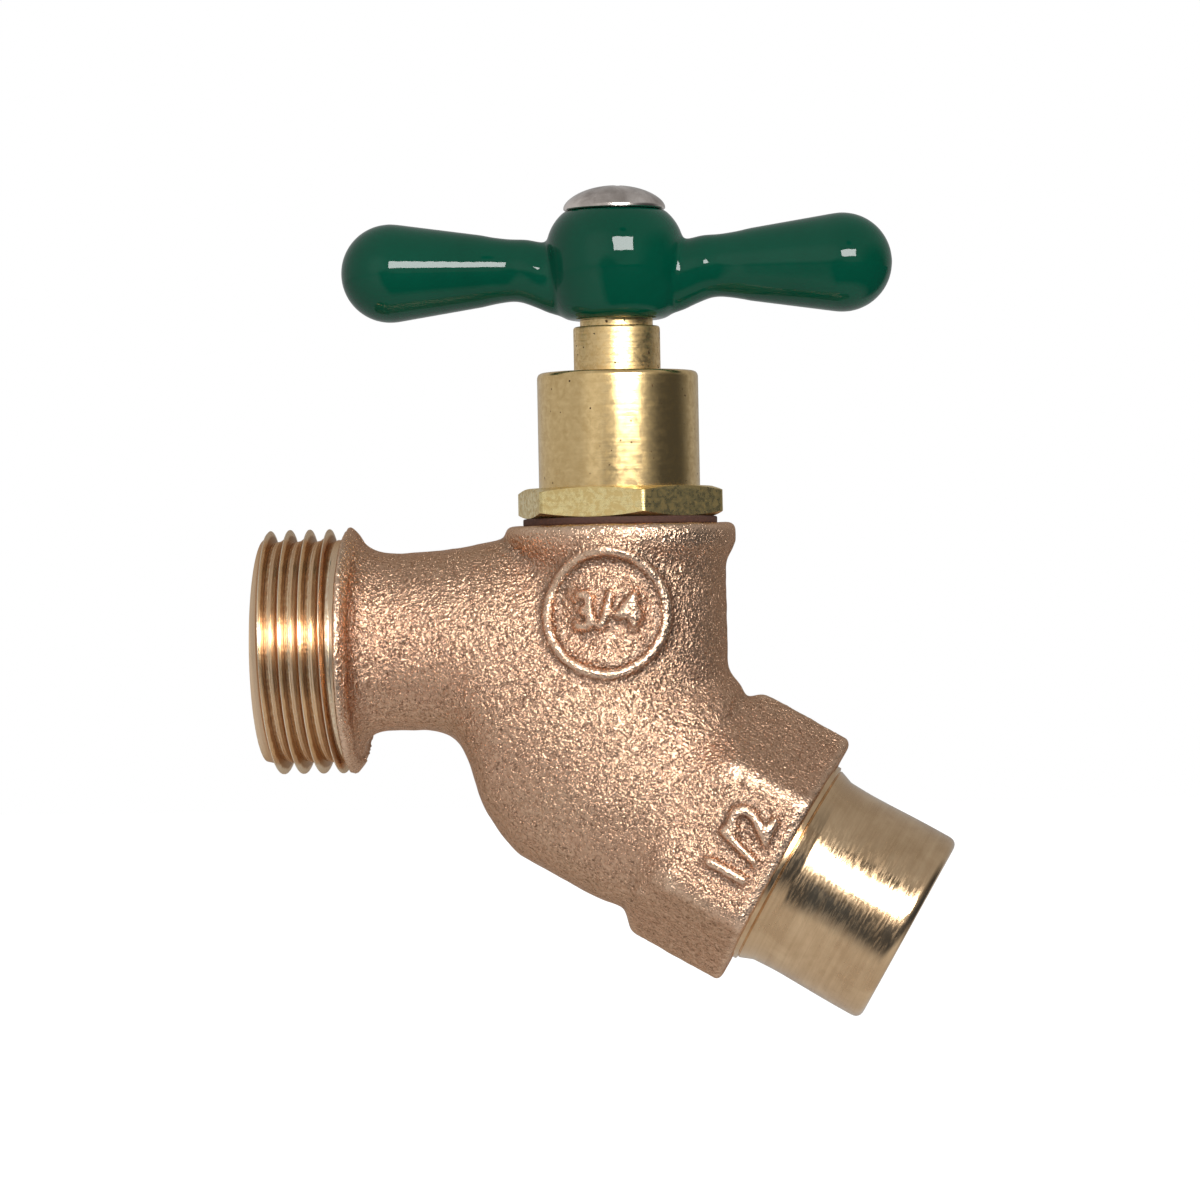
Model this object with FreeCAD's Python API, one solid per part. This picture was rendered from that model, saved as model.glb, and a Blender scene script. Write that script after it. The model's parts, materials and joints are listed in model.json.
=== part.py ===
"""Hose bibb with a tee handle, a 3/4 inch hose outlet and a solder inlet that drops 30 degrees.

The model is drawn with the stem on the Z axis and the outlet on the X axis, closed.
Each piece is then moved so that the origin is the centre of the inlet's mouth. Sizes are millimetres.
"""
import FreeCAD, Part
import math
import os
from FreeCAD import Vector

# Travel of the stem
thread_pitch = 2.54
opening_turns = 2.5
stem_lift = thread_pitch * opening_turns

# Inlet: a solder spigot and cup behind a hexagon boss
inlet_tilt = 30.0
inlet_drop = 13.85
boss_end = 20.1
boss_length = 12.4
boss_across_flats = 26.4
boss_corner_round = 1.8
boss_start_r = 13.5
boss_start_slope = 1.8
boss_end_round = 0.9
spigot_length = 15.45
spigot_r = 11.11
spigot_root_r = 11.9
spigot_root_length = 3.2
spigot_root_ring = 0.9
spigot_end_round = 1.1
cup_r = 7.975
cup_depth = 12.7
cup_stop_r = 6.9
cup_stop_length = 2.5
cavity_r = 8.2
cavity_back = 3.5

# Hose outlet
outlet_reach = 39.5
hose_thread_r = 13.495
hose_thread_length = 8.5
hose_thread_chamfer = 1.1
thread_relief_r = 12.3
thread_relief_length = 0.6
collar_r = 13.4
collar_length = 0.4
collar_step = 0.35
outlet_mouth_r = 9.5
outlet_mouth_depth = 7.0
outlet_taper_length = 8.5
outlet_mouth_chamfer = 0.4
passage_r = 5.6

# Horn between the collar and the barrel. Each of its cuts has its distance from the collar,
# its radius over horn_r and its centre's height.
horn_r = 9.65
horn_root_r = 10.2
horn_root_rise = 0.8
horn_root_gap = 7.0
horn_root_lean = 0.45
horn_cuts = (
    (1.4, 1.28, 0.95),
    (2.7, 0.35, 1.0),
    (5.1, 0.0, 0.9),
    (8.1, 0.1, 0.95),
)

# Cast barrel along the inlet, and the heel where it starts. Each of the heel's cuts has its foot
# (distance along the inlet, depth as a share of heel_r), its head (place as a share of neck_r,
# drop below the neck's top) and how far its half width is under the barrel's.
barrel_r = 13.4
barrel_crown = 3.1
barrel_throat = 4.5
barrel_throat_crown = 1.6
barrel_half_wide = 12.8
barrel_end_r = 13.0
barrel_end_half_wide = 12.9
heel_r = 13.55
heel_cuts = (
    (-15.1, 0.57, -1.135, 1.4, 2.1),
    (-11.3, 0.82, -0.6, 1.1, 1.5),
    (-6.8, 0.98, -0.1, 2.3, 0.8),
    (-5.0, 1.0, 0.4, 6.3, 0.3),
)

# Stem neck of the casting
neck_top = 13.3
neck_wall = 1.925
neck_blend = 3.0
neck_sink = 9.0
lip_r = 12.6
lip_height = 1.9
lip_slope = 3.4
lip_edge = 0.4
lip_root = 0.5

# Bridge wall with the seat
seat_level = -4.7
seat_bore_r = 4.75
seat_land = 0.8
seat_slope = 1.1
bridge_thickness = 1.8
chamber_r = 8.9
chamber_top = 6.0
seat_bore_reach = 7.3

# Packing nut with its stem guard
nut_thread_r = 9.525
nut_thread_length = 7.1
nut_across_flats = 20.5
nut_turn = -11.9
nut_height = 3.3
nut_chamfer = 0.55
guard_r = 8.85
guard_height = 12.7
guard_edge = 0.8
guard_top_wall = 2.5
nut_relief = 0.5

# Gasket and packing
gasket_thickness = 0.8
gasket_r = 10.66
packing_chamber_r = 6.3
packing_washer_thickness = 1.3
packing_ring_thickness = 2.4
gland_thickness = 1.5

# Stem
stem_r = 4.7625
stem_shows = 5.0
stem_edge = 0.5
stem_neck_r = 4.0
stem_neck_length = 0.7
stem_thread_r = 7.1
stem_thread_length = 8.5
stem_core_r = 4.2
stem_cup_r = 7.0
stem_cup_wall = 0.95
stem_cup_height = 2.6
stem_cup_skirt = 1.8
stem_spare = 0.65
square_across_flats = 5.2
square_short_of_top = 1.0

# Seat washer and its screw
washer_thickness = 3.0
washer_bevel = 0.3
bibb_screw_r = 1.9
bibb_screw_length = 9.6
bibb_head_r = 3.3
bibb_head_height = 2.0
bibb_slot_width = 0.9
bibb_slot_depth = 0.8

# Handle
hub_height = 12.1
hub_r = 7.7
hub_foot_r = 4.5
hub_shoulder_r = 6.9
hub_shoulder_height = 1.9
hub_shoulder_bulge = 0.7
hub_shoulder_bend = 0.35
hub_waist_height = 7.0
hub_brow_height = 8.6
hub_brow_r = 7.55
hub_top_r = 5.4
hub_crown_bulge = 0.4
arm_level = 5.75
arm_reach = 30.4
arm_neck_r = 3.35
arm_neck_reach = 10.5
arm_end_r = 5.45
web_foot = 0.2
web_bend_reach = 7.4
web_bend_rise = 0.75
web_overlap = 0.2
handle_screw_r = 1.95
handle_screw_length = 9.0
handle_head_r = 5.6
handle_head_rim = 0.7
handle_head_height = 2.7

# Clearances, each on the radius or between two faces
thread_gap = 0.05
running_gap = 0.08
loose_gap = 0.1
drill_spare = 1.0
bore_overrun = 1.0

# Levels up the stem, worked out from the sizes above
nut_seat = neck_top + gasket_thickness
nut_top = nut_seat + nut_height + guard_height
nut_foot = nut_seat - nut_thread_length
packing_top = nut_top - guard_top_wall
packing_washer_foot = packing_top - packing_washer_thickness
packing_upper_foot = packing_washer_foot - packing_ring_thickness
packing_lower_foot = packing_upper_foot - packing_ring_thickness
packing_foot = packing_lower_foot - gland_thickness
stem_thread_top = packing_foot - stem_lift - stem_spare
stem_thread_foot = stem_thread_top - stem_thread_length
stem_shoulder = nut_top + stem_shows
hub_foot = stem_shoulder + stem_neck_length
hub_top = hub_foot + hub_height
square_top = hub_top - square_short_of_top
washer_foot = seat_level + loose_gap
washer_top = washer_foot + washer_thickness
floor_level = -passage_r
bridge_foot = floor_level - bridge_thickness

# Places along the outlet and the inlet
thread_root_x = hose_thread_length - outlet_reach
collar_x = thread_root_x + thread_relief_length
horn_x = collar_x + collar_length
mouth_distance = boss_end + spigot_length
neck_r = nut_thread_r + neck_wall
tilt = math.radians(inlet_tilt)
mouth_centre = Vector(mouth_distance * math.cos(tilt), 0, -inlet_drop - mouth_distance * math.sin(tilt))
up = Vector(0, 0, 1)
centre = Vector(0, 0, 0)


def outline(steps, place):
    """Close a face from corners. A step of two points is an arc through the first to the second."""
    at = place(*steps[0])
    edges = []
    for step in steps[1:] + steps[:1]:
        if isinstance(step[0], tuple):
            middle, end = place(*step[0]), place(*step[1])
            edges.append(Part.Arc(at, middle, end).toShape())
        else:
            end = place(*step)
            edges.append(Part.LineSegment(at, end).toShape())
        at = end
    return Part.Face(Part.Wire(edges))


def turned(steps):
    """Turn an outline of (radius, level) points about the stem's axis."""
    face = outline(steps, lambda radius, level: Vector(radius, 0, level))
    return face.revolve(centre, up, 360)


def turned_along(steps):
    """Turn an outline of (distance, radius) points about the outlet's axis."""
    face = outline(steps, lambda distance, radius: Vector(distance, 0, radius))
    return face.revolve(centre, Vector(1, 0, 0), 360)


def dome_middle(rim_r, rim_level, pole_level):
    """Give the middle point of a round dome's arc, between its rim and its pole on the stem's axis."""
    height = abs(pole_level - rim_level)
    dome_r = (rim_r ** 2 + height ** 2) / (2 * height)
    half_turn = math.asin(rim_r / dome_r) / 2
    drop = dome_r * (1 - math.cos(half_turn))
    return dome_r * math.sin(half_turn), pole_level - math.copysign(drop, pole_level - rim_level)


def tube(inner, outer, foot, top):
    """Make a plain ring about the stem's axis."""
    return turned([(inner, foot), (outer, foot), (outer, top), (inner, top)])


def rod(radius, foot, top):
    """Make a plain round bar about the stem's axis."""
    return Part.makeCylinder(radius, top - foot, Vector(0, 0, foot))


def prism(corners, across_flats, foot, height, turn):
    """Make an upright bar of equal sides about the stem's axis."""
    corner_r = across_flats / 2 / math.cos(math.pi / corners)
    points = []
    for corner in range(corners + 1):
        angle = math.radians(turn) + 2 * math.pi * corner / corners
        points.append(Vector(corner_r * math.cos(angle), corner_r * math.sin(angle), foot))
    return Part.Face(Part.makePolygon(points)).extrude(Vector(0, 0, height))


def on_inlet(shape):
    """Swing a shape drawn along +X onto the inlet's axis."""
    swung = shape.copy()
    swung.rotate(centre, Vector(0, 1, 0), inlet_tilt)
    swung.translate(Vector(0, 0, -inlet_drop))
    return swung


def inlet_point(along, off):
    """Give the (x, z) of a point by its distance along the inlet's axis and its height off it."""
    x = along * math.cos(tilt) + off * math.sin(tilt)
    z = off * math.cos(tilt) - along * math.sin(tilt) - inlet_drop
    return x, z


def station(low, high, half_wide):
    """Draw one cut of a casting: an ellipse between its low and high points in the middle plane."""
    foot = Vector(low[0], 0, low[1])
    head = Vector(high[0], 0, high[1])
    middle = (foot + head) * 0.5
    rise = head - middle
    side = Vector(0, half_wide, 0)
    if rise.Length > half_wide:
        curve = Part.Ellipse(head, middle + side, middle)
    else:
        curve = Part.Circle(middle, rise.cross(side), half_wide)
        curve.XAxis = rise
    return Part.Wire([curve.toShape()])


def horn_station(distance, radius, rise):
    """Draw one upright cut of the horn, at a distance from the collar, with its centre's height."""
    x = horn_x + distance
    nearly_round = radius + 0.001
    return station((x, rise - nearly_round), (x, rise + nearly_round), radius)


def barrel_end_station(along):
    """Draw one cut of the barrel's straight end, square to the inlet's axis."""
    low = inlet_point(along, -barrel_end_r)
    high = inlet_point(along, barrel_end_r)
    return station(low, high, barrel_end_half_wide)


def casting_skin():
    """Loft the casting in one skin from the collar, round the heel, to the hexagon boss."""
    horn_root_x = -neck_r - horn_root_gap
    cuts = [horn_station(-collar_length / 2, collar_r - collar_step, 0.0)]
    for distance, more, rise in horn_cuts:
        cuts.append(horn_station(distance, horn_r + more, rise))
    low = (horn_root_x - horn_root_lean, -horn_r)
    high = (horn_root_x + horn_root_lean, horn_root_r + horn_root_rise)
    cuts.append(station(low, high, horn_root_r))
    for along, depth, side, drop, less in heel_cuts:
        low = inlet_point(along, -depth * heel_r)
        cuts.append(station(low, (side * neck_r, neck_top - drop), barrel_half_wide - less))
    for along, low_r, high_r in (
        (0, heel_r, barrel_r + barrel_crown),
        (barrel_throat, barrel_r, barrel_r + barrel_throat_crown),
    ):
        cuts.append(station(inlet_point(along, -low_r), inlet_point(along, high_r), barrel_half_wide))
    cuts.append(barrel_end_station(boss_end - boss_length))
    cuts.append(barrel_end_station(boss_end - boss_length / 2))
    return Part.makeLoft(cuts, True, False)


def neck_with_blend():
    """Join the stem neck to the cast skin and round the crease where they meet."""
    neck = rod(neck_r, -neck_sink, neck_top - lip_root)
    joined = casting_skin().fuse(neck)
    crease = []
    for edge in joined.Edges:
        surfaces = [face.Surface for face in joined.ancestorsOfType(edge, Part.Face)]
        meets_neck = any(isinstance(surface, Part.Cylinder) for surface in surfaces)
        meets_skin = any(isinstance(surface, Part.BSplineSurface) for surface in surfaces)
        if meets_neck and meets_skin:
            crease.append(edge)
    return joined.makeFillet(neck_blend, crease)


def neck_lip():
    """Make the lip round the top of the stem neck, on a slope that rises out of the neck's wall."""
    slope_foot = neck_top - lip_height - lip_slope
    return turned([
        (0, slope_foot),
        (neck_r - lip_root, slope_foot),
        (lip_r, neck_top - lip_height),
        (lip_r, neck_top - lip_edge),
        (lip_r - lip_edge, neck_top),
        (0, neck_top),
    ])


def hexagon_boss():
    """Make the hexagon boss with soft corners, corners up and down, along the inlet."""
    bar = prism(6, boss_across_flats, 0, boss_length, 0)
    corners = [edge for edge in bar.Edges if abs(edge.Length - boss_length) < 0.001]
    bar = bar.makeFillet(boss_corner_round, corners)
    bar.rotate(centre, Vector(0, 1, 0), 90)
    bar.translate(Vector(boss_end - boss_length, 0, 0))
    corner_r = boss_across_flats / math.sqrt(3)
    quarter = boss_end_round * (1 - math.sqrt(0.5))
    start = boss_end - boss_length
    limit = turned_along([
        (start, 0),
        (start, boss_start_r),
        (start + boss_start_slope, corner_r),
        (boss_end - boss_end_round, corner_r),
        ((boss_end - quarter, corner_r - quarter), (boss_end, corner_r - boss_end_round)),
        (boss_end, 0),
    ])
    return on_inlet(bar.common(limit))


def solder_spigot():
    """Make the turned spigot with its flared root ring and rounded end."""
    root = boss_end + spigot_root_ring
    root_end = boss_end + spigot_root_length
    quarter = spigot_end_round * (1 - math.sqrt(0.5))
    flare = spigot_root_r - spigot_r
    return on_inlet(turned_along([
        (boss_end - bore_overrun, 0),
        (boss_end - bore_overrun, spigot_root_r),
        (root, spigot_root_r),
        ((root + (root_end - root) * 0.4, spigot_r + flare * 0.32), (root_end, spigot_r)),
        (mouth_distance - spigot_end_round, spigot_r),
        ((mouth_distance - quarter, spigot_r - quarter), (mouth_distance, spigot_r - spigot_end_round)),
        (mouth_distance, 0),
    ]))


def hose_end():
    """Make the hose thread's blank at its full diameter, its relief and the cast collar."""
    return turned_along([
        (-outlet_reach, 0),
        (-outlet_reach, hose_thread_r - hose_thread_chamfer),
        (hose_thread_chamfer - outlet_reach, hose_thread_r),
        (thread_root_x, hose_thread_r),
        (thread_root_x, thread_relief_r),
        (collar_x, thread_relief_r),
        (collar_x, collar_r),
        (horn_x, collar_r),
        (horn_x, 0),
    ])


def outlet_way():
    """Make the hollow from the stem chamber to the hose outlet's mouth."""
    taper_x = outlet_mouth_depth - outlet_reach
    return turned_along([
        (-outlet_reach - bore_overrun, 0),
        (-outlet_reach - bore_overrun, outlet_mouth_r + outlet_mouth_chamfer),
        (-outlet_reach, outlet_mouth_r + outlet_mouth_chamfer),
        (outlet_mouth_chamfer - outlet_reach, outlet_mouth_r),
        (taper_x, outlet_mouth_r),
        (taper_x + outlet_taper_length, passage_r),
        (0, passage_r),
        (0, 0),
    ])


def stem_chamber():
    """Make the hollow above the bridge wall, with the raised seat left standing on its floor."""
    seat_land_r = seat_bore_r + seat_land
    return turned([
        (0, seat_level),
        (seat_land_r, seat_level),
        (seat_land_r + seat_slope, floor_level),
        (chamber_r, floor_level),
        (chamber_r, chamber_top),
        (nut_thread_r, chamber_top),
        (nut_thread_r, neck_top + bore_overrun),
        (0, neck_top + bore_overrun),
    ])


def inlet_way():
    """Make the hollow from the solder cup to the underside of the bridge wall."""
    stop_x = mouth_distance - cup_depth
    cavity_end = stop_x - cup_stop_length
    cavity = turned_along([
        (-cavity_back - cavity_r, 0),
        ((-cavity_back - cavity_r * math.sqrt(0.5), cavity_r * math.sqrt(0.5)), (-cavity_back, cavity_r)),
        (cavity_end, cavity_r),
        (cavity_end, cup_stop_r),
        (stop_x, cup_stop_r),
        (stop_x, cup_r),
        (mouth_distance + bore_overrun, cup_r),
        (mouth_distance + bore_overrun, 0),
    ])
    below_bridge = rod(3 * outlet_reach, bridge_foot - 3 * outlet_reach, bridge_foot)
    seat_bore = rod(seat_bore_r, bridge_foot - seat_bore_reach, seat_level + bore_overrun)
    return on_inlet(cavity).common(below_bridge).fuse(seat_bore)


def make_body():
    """Make the cast body: outer skin, neck, hose end and inlet, less its waterway."""
    solid = neck_with_blend()
    for piece in (neck_lip(), hexagon_boss(), solder_spigot(), hose_end()):
        solid = solid.fuse(piece)
    for hollow in (outlet_way(), stem_chamber(), inlet_way()):
        solid = solid.cut(hollow)
    return solid.removeSplitter()


def make_packing_nut():
    """Make the nut: hexagon, stem guard, male thread and the hollow for stem and packing."""
    flange_top = nut_seat + nut_height
    corner_r = nut_across_flats / math.sqrt(3)
    male_r = nut_thread_r - thread_gap
    hexagon = prism(6, nut_across_flats, nut_seat, nut_height, nut_turn)
    barrel = turned([
        (0, nut_seat),
        (corner_r - nut_chamfer, nut_seat),
        (corner_r, nut_seat + nut_chamfer),
        (corner_r, flange_top - nut_chamfer),
        (corner_r - nut_chamfer, flange_top),
        (0, flange_top),
    ])
    guard = rod(guard_r, flange_top, nut_top)
    top_edges = [edge for edge in guard.Edges if edge.BoundBox.ZMin > nut_top - guard_edge]
    guard = guard.makeFillet(guard_edge, top_edges)
    shank = turned([
        (0, nut_foot),
        (male_r - nut_chamfer, nut_foot),
        (male_r, nut_foot + nut_chamfer),
        (male_r, nut_seat - 2 * nut_relief),
        (male_r - nut_relief, nut_seat - nut_relief),
        (male_r - nut_relief, nut_seat),
        (0, nut_seat),
    ])
    hollow = turned([
        (0, nut_foot - bore_overrun),
        (stem_thread_r + loose_gap, nut_foot - bore_overrun),
        (stem_thread_r + loose_gap, packing_foot),
        (packing_chamber_r, packing_foot),
        (packing_chamber_r, packing_top),
        (stem_r + running_gap, packing_top),
        (stem_r + running_gap, nut_top + bore_overrun),
        (0, nut_top + bore_overrun),
    ])
    solid = hexagon.common(barrel).fuse(guard).fuse(shank)
    return solid.cut(hollow).removeSplitter()


def make_stem():
    """Make the stem: washer cup, thread, shank, shoulder and square drive, drilled at both ends."""
    cup_foot = washer_top - stem_cup_skirt
    cup_top = washer_top + stem_cup_height
    cup_inner = stem_cup_r - stem_cup_wall
    bar = turned([
        (0, washer_top),
        (cup_inner, washer_top),
        (cup_inner, cup_foot),
        (stem_cup_r, cup_foot),
        (stem_cup_r, cup_top - stem_edge),
        (stem_cup_r - stem_edge, cup_top),
        (stem_core_r, cup_top),
        (stem_core_r, stem_thread_foot),
        (stem_thread_r - stem_edge, stem_thread_foot),
        (stem_thread_r, stem_thread_foot + stem_edge),
        (stem_thread_r, stem_thread_top - stem_edge),
        (stem_thread_r - stem_edge, stem_thread_top),
        (stem_r, stem_thread_top),
        (stem_r, stem_shoulder - stem_edge),
        (stem_r - stem_edge, stem_shoulder),
        (stem_neck_r, stem_shoulder),
        (stem_neck_r, hub_foot),
        (0, hub_foot),
    ])
    square = prism(4, square_across_flats, hub_foot, square_top - hub_foot, 45)
    screw_foot = hub_top - handle_screw_length
    upper_hole = rod(handle_screw_r + thread_gap, screw_foot - drill_spare, square_top + bore_overrun)
    bibb_tip = washer_foot + bibb_screw_length
    lower_hole = rod(bibb_screw_r + thread_gap, washer_top - bore_overrun, bibb_tip + drill_spare)
    return bar.fuse(square).cut(upper_hole).cut(lower_hole).removeSplitter()


def make_seat_washer():
    """Make the flat seat washer with a small bevel round its lower edge."""
    outer = stem_cup_r - stem_cup_wall - thread_gap
    inner = bibb_screw_r + loose_gap
    return turned([
        (inner, washer_foot),
        (outer - washer_bevel, washer_foot),
        (outer, washer_foot + washer_bevel),
        (outer, washer_top),
        (inner, washer_top),
    ])


def make_bibb_screw():
    """Make the slotted screw that holds the seat washer in the stem's cup."""
    head_foot = washer_foot - bibb_head_height
    head_rim = head_foot + 0.45 * bibb_head_height
    screw = turned([
        (0, head_foot),
        (dome_middle(bibb_head_r, head_rim, head_foot), (bibb_head_r, head_rim)),
        (bibb_head_r, washer_foot),
        (bibb_screw_r, washer_foot),
        (bibb_screw_r, washer_foot + bibb_screw_length),
        (0, washer_foot + bibb_screw_length),
    ])
    slot = Part.makeBox(
        2 * bibb_head_r,
        bibb_slot_width,
        2 * bibb_slot_depth,
        Vector(-bibb_head_r, -bibb_slot_width / 2, head_foot - bibb_slot_depth),
    )
    return screw.cut(slot)


def handle_arm():
    """Make one arm of the handle along +X: a taper that swells to a round end."""
    end_x = arm_reach - arm_end_r
    swell = math.asin((arm_end_r - arm_neck_r) / (end_x - arm_neck_reach))
    tangent_x = end_x - arm_end_r * math.sin(swell)
    tangent_r = arm_end_r * math.cos(swell)
    half_turn = (math.pi / 2 - swell) / 2
    middle = (end_x + arm_end_r * math.cos(half_turn), arm_end_r * math.sin(half_turn))
    club = turned_along([
        (arm_neck_reach, 0),
        (arm_neck_reach, arm_neck_r),
        (tangent_x, tangent_r),
        (middle, (arm_reach, 0)),
    ])
    club.translate(Vector(0, 0, hub_foot + arm_level))
    return club


def arm_station(reach, radius):
    """Draw one upright cut of a handle arm, a hair less wide than tall."""
    level = hub_foot + arm_level
    return station((reach, level - radius), (reach, level + radius), radius - 0.01)


def handle_web():
    """Loft the root of one arm, which spreads down to the foot of the hub."""
    root_r = arm_neck_r + web_overlap
    tip_r = arm_neck_r - web_overlap
    tip_x = arm_neck_reach + 4 * web_overlap
    brow = hub_foot + hub_brow_height
    foot = hub_foot + web_foot
    cuts = [
        station((0, foot), (0, brow), root_r),
        station((hub_foot_r, foot), (hub_foot_r, brow), root_r),
        station((web_bend_reach, foot + web_bend_rise), (web_bend_reach, brow), root_r),
        arm_station(arm_neck_reach, root_r),
        arm_station(tip_x, tip_r),
    ]
    return Part.makeLoft(cuts, True, False)


def make_handle():
    """Make the tee handle: hub, two arms and the square hole for the stem."""
    shoulder_level = hub_foot + hub_shoulder_height
    shoulder_bend = hub_foot + hub_shoulder_bend * hub_shoulder_height
    shoulder_middle = (hub_shoulder_r - hub_shoulder_bulge, shoulder_bend)
    crown_slope = math.atan2(hub_brow_r - hub_top_r, hub_height - hub_brow_height)
    crown_middle = (
        (hub_brow_r + hub_top_r) / 2 + hub_crown_bulge * math.cos(crown_slope),
        hub_foot + (hub_brow_height + hub_height) / 2 + hub_crown_bulge * math.sin(crown_slope),
    )
    hub = turned([
        (0, hub_foot),
        (hub_foot_r, hub_foot),
        (shoulder_middle, (hub_shoulder_r, shoulder_level)),
        ((hub_r, hub_foot + hub_waist_height), (hub_brow_r, hub_foot + hub_brow_height)),
        (crown_middle, (hub_top_r, hub_top)),
        (0, hub_top),
    ])
    for side in (0, 180):
        for piece in (handle_arm(), handle_web()):
            piece.rotate(centre, up, side)
            hub = hub.fuse(piece)
    hole_foot = hub_foot - bore_overrun
    hole = prism(4, square_across_flats + 2 * thread_gap, hole_foot, hub_height + 2 * bore_overrun, 45)
    return hub.cut(hole).removeSplitter()


def make_handle_screw():
    """Make the domed screw that holds the handle."""
    rim_top = hub_top + handle_head_rim
    head_top = hub_top + handle_head_height
    return turned([
        (0, hub_top - handle_screw_length),
        (handle_screw_r, hub_top - handle_screw_length),
        (handle_screw_r, hub_top),
        (handle_head_r, hub_top),
        (handle_head_r, rim_top),
        (dome_middle(handle_head_r, rim_top, head_top), (0, head_top)),
    ])


def packing_piece(foot, thickness):
    """Make one ring of the packing stack, round the stem and inside the nut's chamber."""
    return tube(stem_r + running_gap, packing_chamber_r - thread_gap, foot, foot + thickness)


pieces = {
    "body": make_body(),
    "bonnet_gasket": tube(nut_thread_r + loose_gap, gasket_r, neck_top, nut_seat),
    "packing_nut": make_packing_nut(),
    "packing_washer": packing_piece(packing_washer_foot, packing_washer_thickness),
    "packing_ring_upper": packing_piece(packing_upper_foot, packing_ring_thickness),
    "packing_ring_lower": packing_piece(packing_lower_foot, packing_ring_thickness),
    "gland_ring": packing_piece(packing_foot, gland_thickness),
    "stem": make_stem(),
    "seat_washer": make_seat_washer(),
    "bibb_screw": make_bibb_screw(),
    "handle": make_handle(),
    "handle_screw": make_handle_screw(),
}

os.makedirs("parts", exist_ok=True)
for name, shape in pieces.items():
    placed = shape.copy()
    placed.translate(-mouth_centre)
    placed.exportStep("parts/" + name + ".step")
    box = placed.BoundBox
    size = [round(value, 2) for value in (box.XLength, box.YLength, box.ZLength)]
    print(name, len(placed.Solids), placed.isValid(), round(placed.Volume, 2), size)
print("mouth centre before the move", [round(value, 4) for value in mouth_centre])
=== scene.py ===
"""Looks of a garden hose tap with a tee handle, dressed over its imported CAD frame.

Each new piece is modelled in millimetres about one of the tap's three axes and carried into the frame's
metres. The casting and the handle start from a copy of their CAD mesh, which is remeshed, softened and
marked. The hose thread, the solder spigot, the nut, the gasket, the stem and the screw are turned here.
The hidden seals keep their CAD meshes and get finishes of their own. Sizes of pieces are in millimetres
and sizes of textures in metres.
"""

import json
import logging
import math
from dataclasses import dataclass, field
from enum import Enum
from typing import Callable, Optional, Sequence, Union

import bmesh
import bpy
from mathutils import Matrix, Vector, noise
from mathutils.bvhtree import BVHTree


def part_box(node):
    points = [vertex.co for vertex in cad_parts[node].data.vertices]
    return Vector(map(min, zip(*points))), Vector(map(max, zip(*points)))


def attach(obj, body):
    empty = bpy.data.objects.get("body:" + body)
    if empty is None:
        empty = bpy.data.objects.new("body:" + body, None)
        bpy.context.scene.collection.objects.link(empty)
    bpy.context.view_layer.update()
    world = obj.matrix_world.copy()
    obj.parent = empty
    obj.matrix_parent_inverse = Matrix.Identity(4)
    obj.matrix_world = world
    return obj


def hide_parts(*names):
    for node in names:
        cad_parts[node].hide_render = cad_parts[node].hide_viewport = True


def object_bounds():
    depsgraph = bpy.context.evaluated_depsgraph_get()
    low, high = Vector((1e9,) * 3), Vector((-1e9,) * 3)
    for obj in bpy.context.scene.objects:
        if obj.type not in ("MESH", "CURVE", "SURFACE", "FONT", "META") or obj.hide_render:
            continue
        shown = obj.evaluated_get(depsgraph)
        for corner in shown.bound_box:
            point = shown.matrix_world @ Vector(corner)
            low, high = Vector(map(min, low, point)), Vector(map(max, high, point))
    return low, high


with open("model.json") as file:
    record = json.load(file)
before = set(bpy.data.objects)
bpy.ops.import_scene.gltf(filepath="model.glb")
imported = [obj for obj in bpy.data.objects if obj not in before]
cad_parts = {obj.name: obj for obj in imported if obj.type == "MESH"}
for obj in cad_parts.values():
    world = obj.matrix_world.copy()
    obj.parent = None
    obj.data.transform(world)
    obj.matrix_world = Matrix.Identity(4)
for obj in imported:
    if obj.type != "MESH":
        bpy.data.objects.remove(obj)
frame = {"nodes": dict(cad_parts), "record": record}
cad_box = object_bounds()

log = logging.getLogger("tap")
MM = 0.001
STANDS_OUT = "stands_out"

Point = tuple[float, float]
Corner = tuple[float, ...]
Colour = tuple[float, float, float]
Zone = tuple[float, float, float, float]
Socket = bpy.types.NodeSocket
Mesh = bmesh.types.BMesh
Feed = Union[Socket, float, Sequence[float]]


class Axis(Enum):
    """The tap's three working axes."""

    STEM = "stem"
    OUTLET = "outlet"
    INLET = "inlet"


class Cut(Enum):
    """What a boolean does with its tool."""

    UNION = "UNION"
    DIFFERENCE = "DIFFERENCE"
    INTERSECT = "INTERSECT"


class Body(Enum):
    """The frame's bodies that the new pieces move with."""

    VALVE = "valve"
    SPINDLE = "spindle"


# Places


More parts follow.
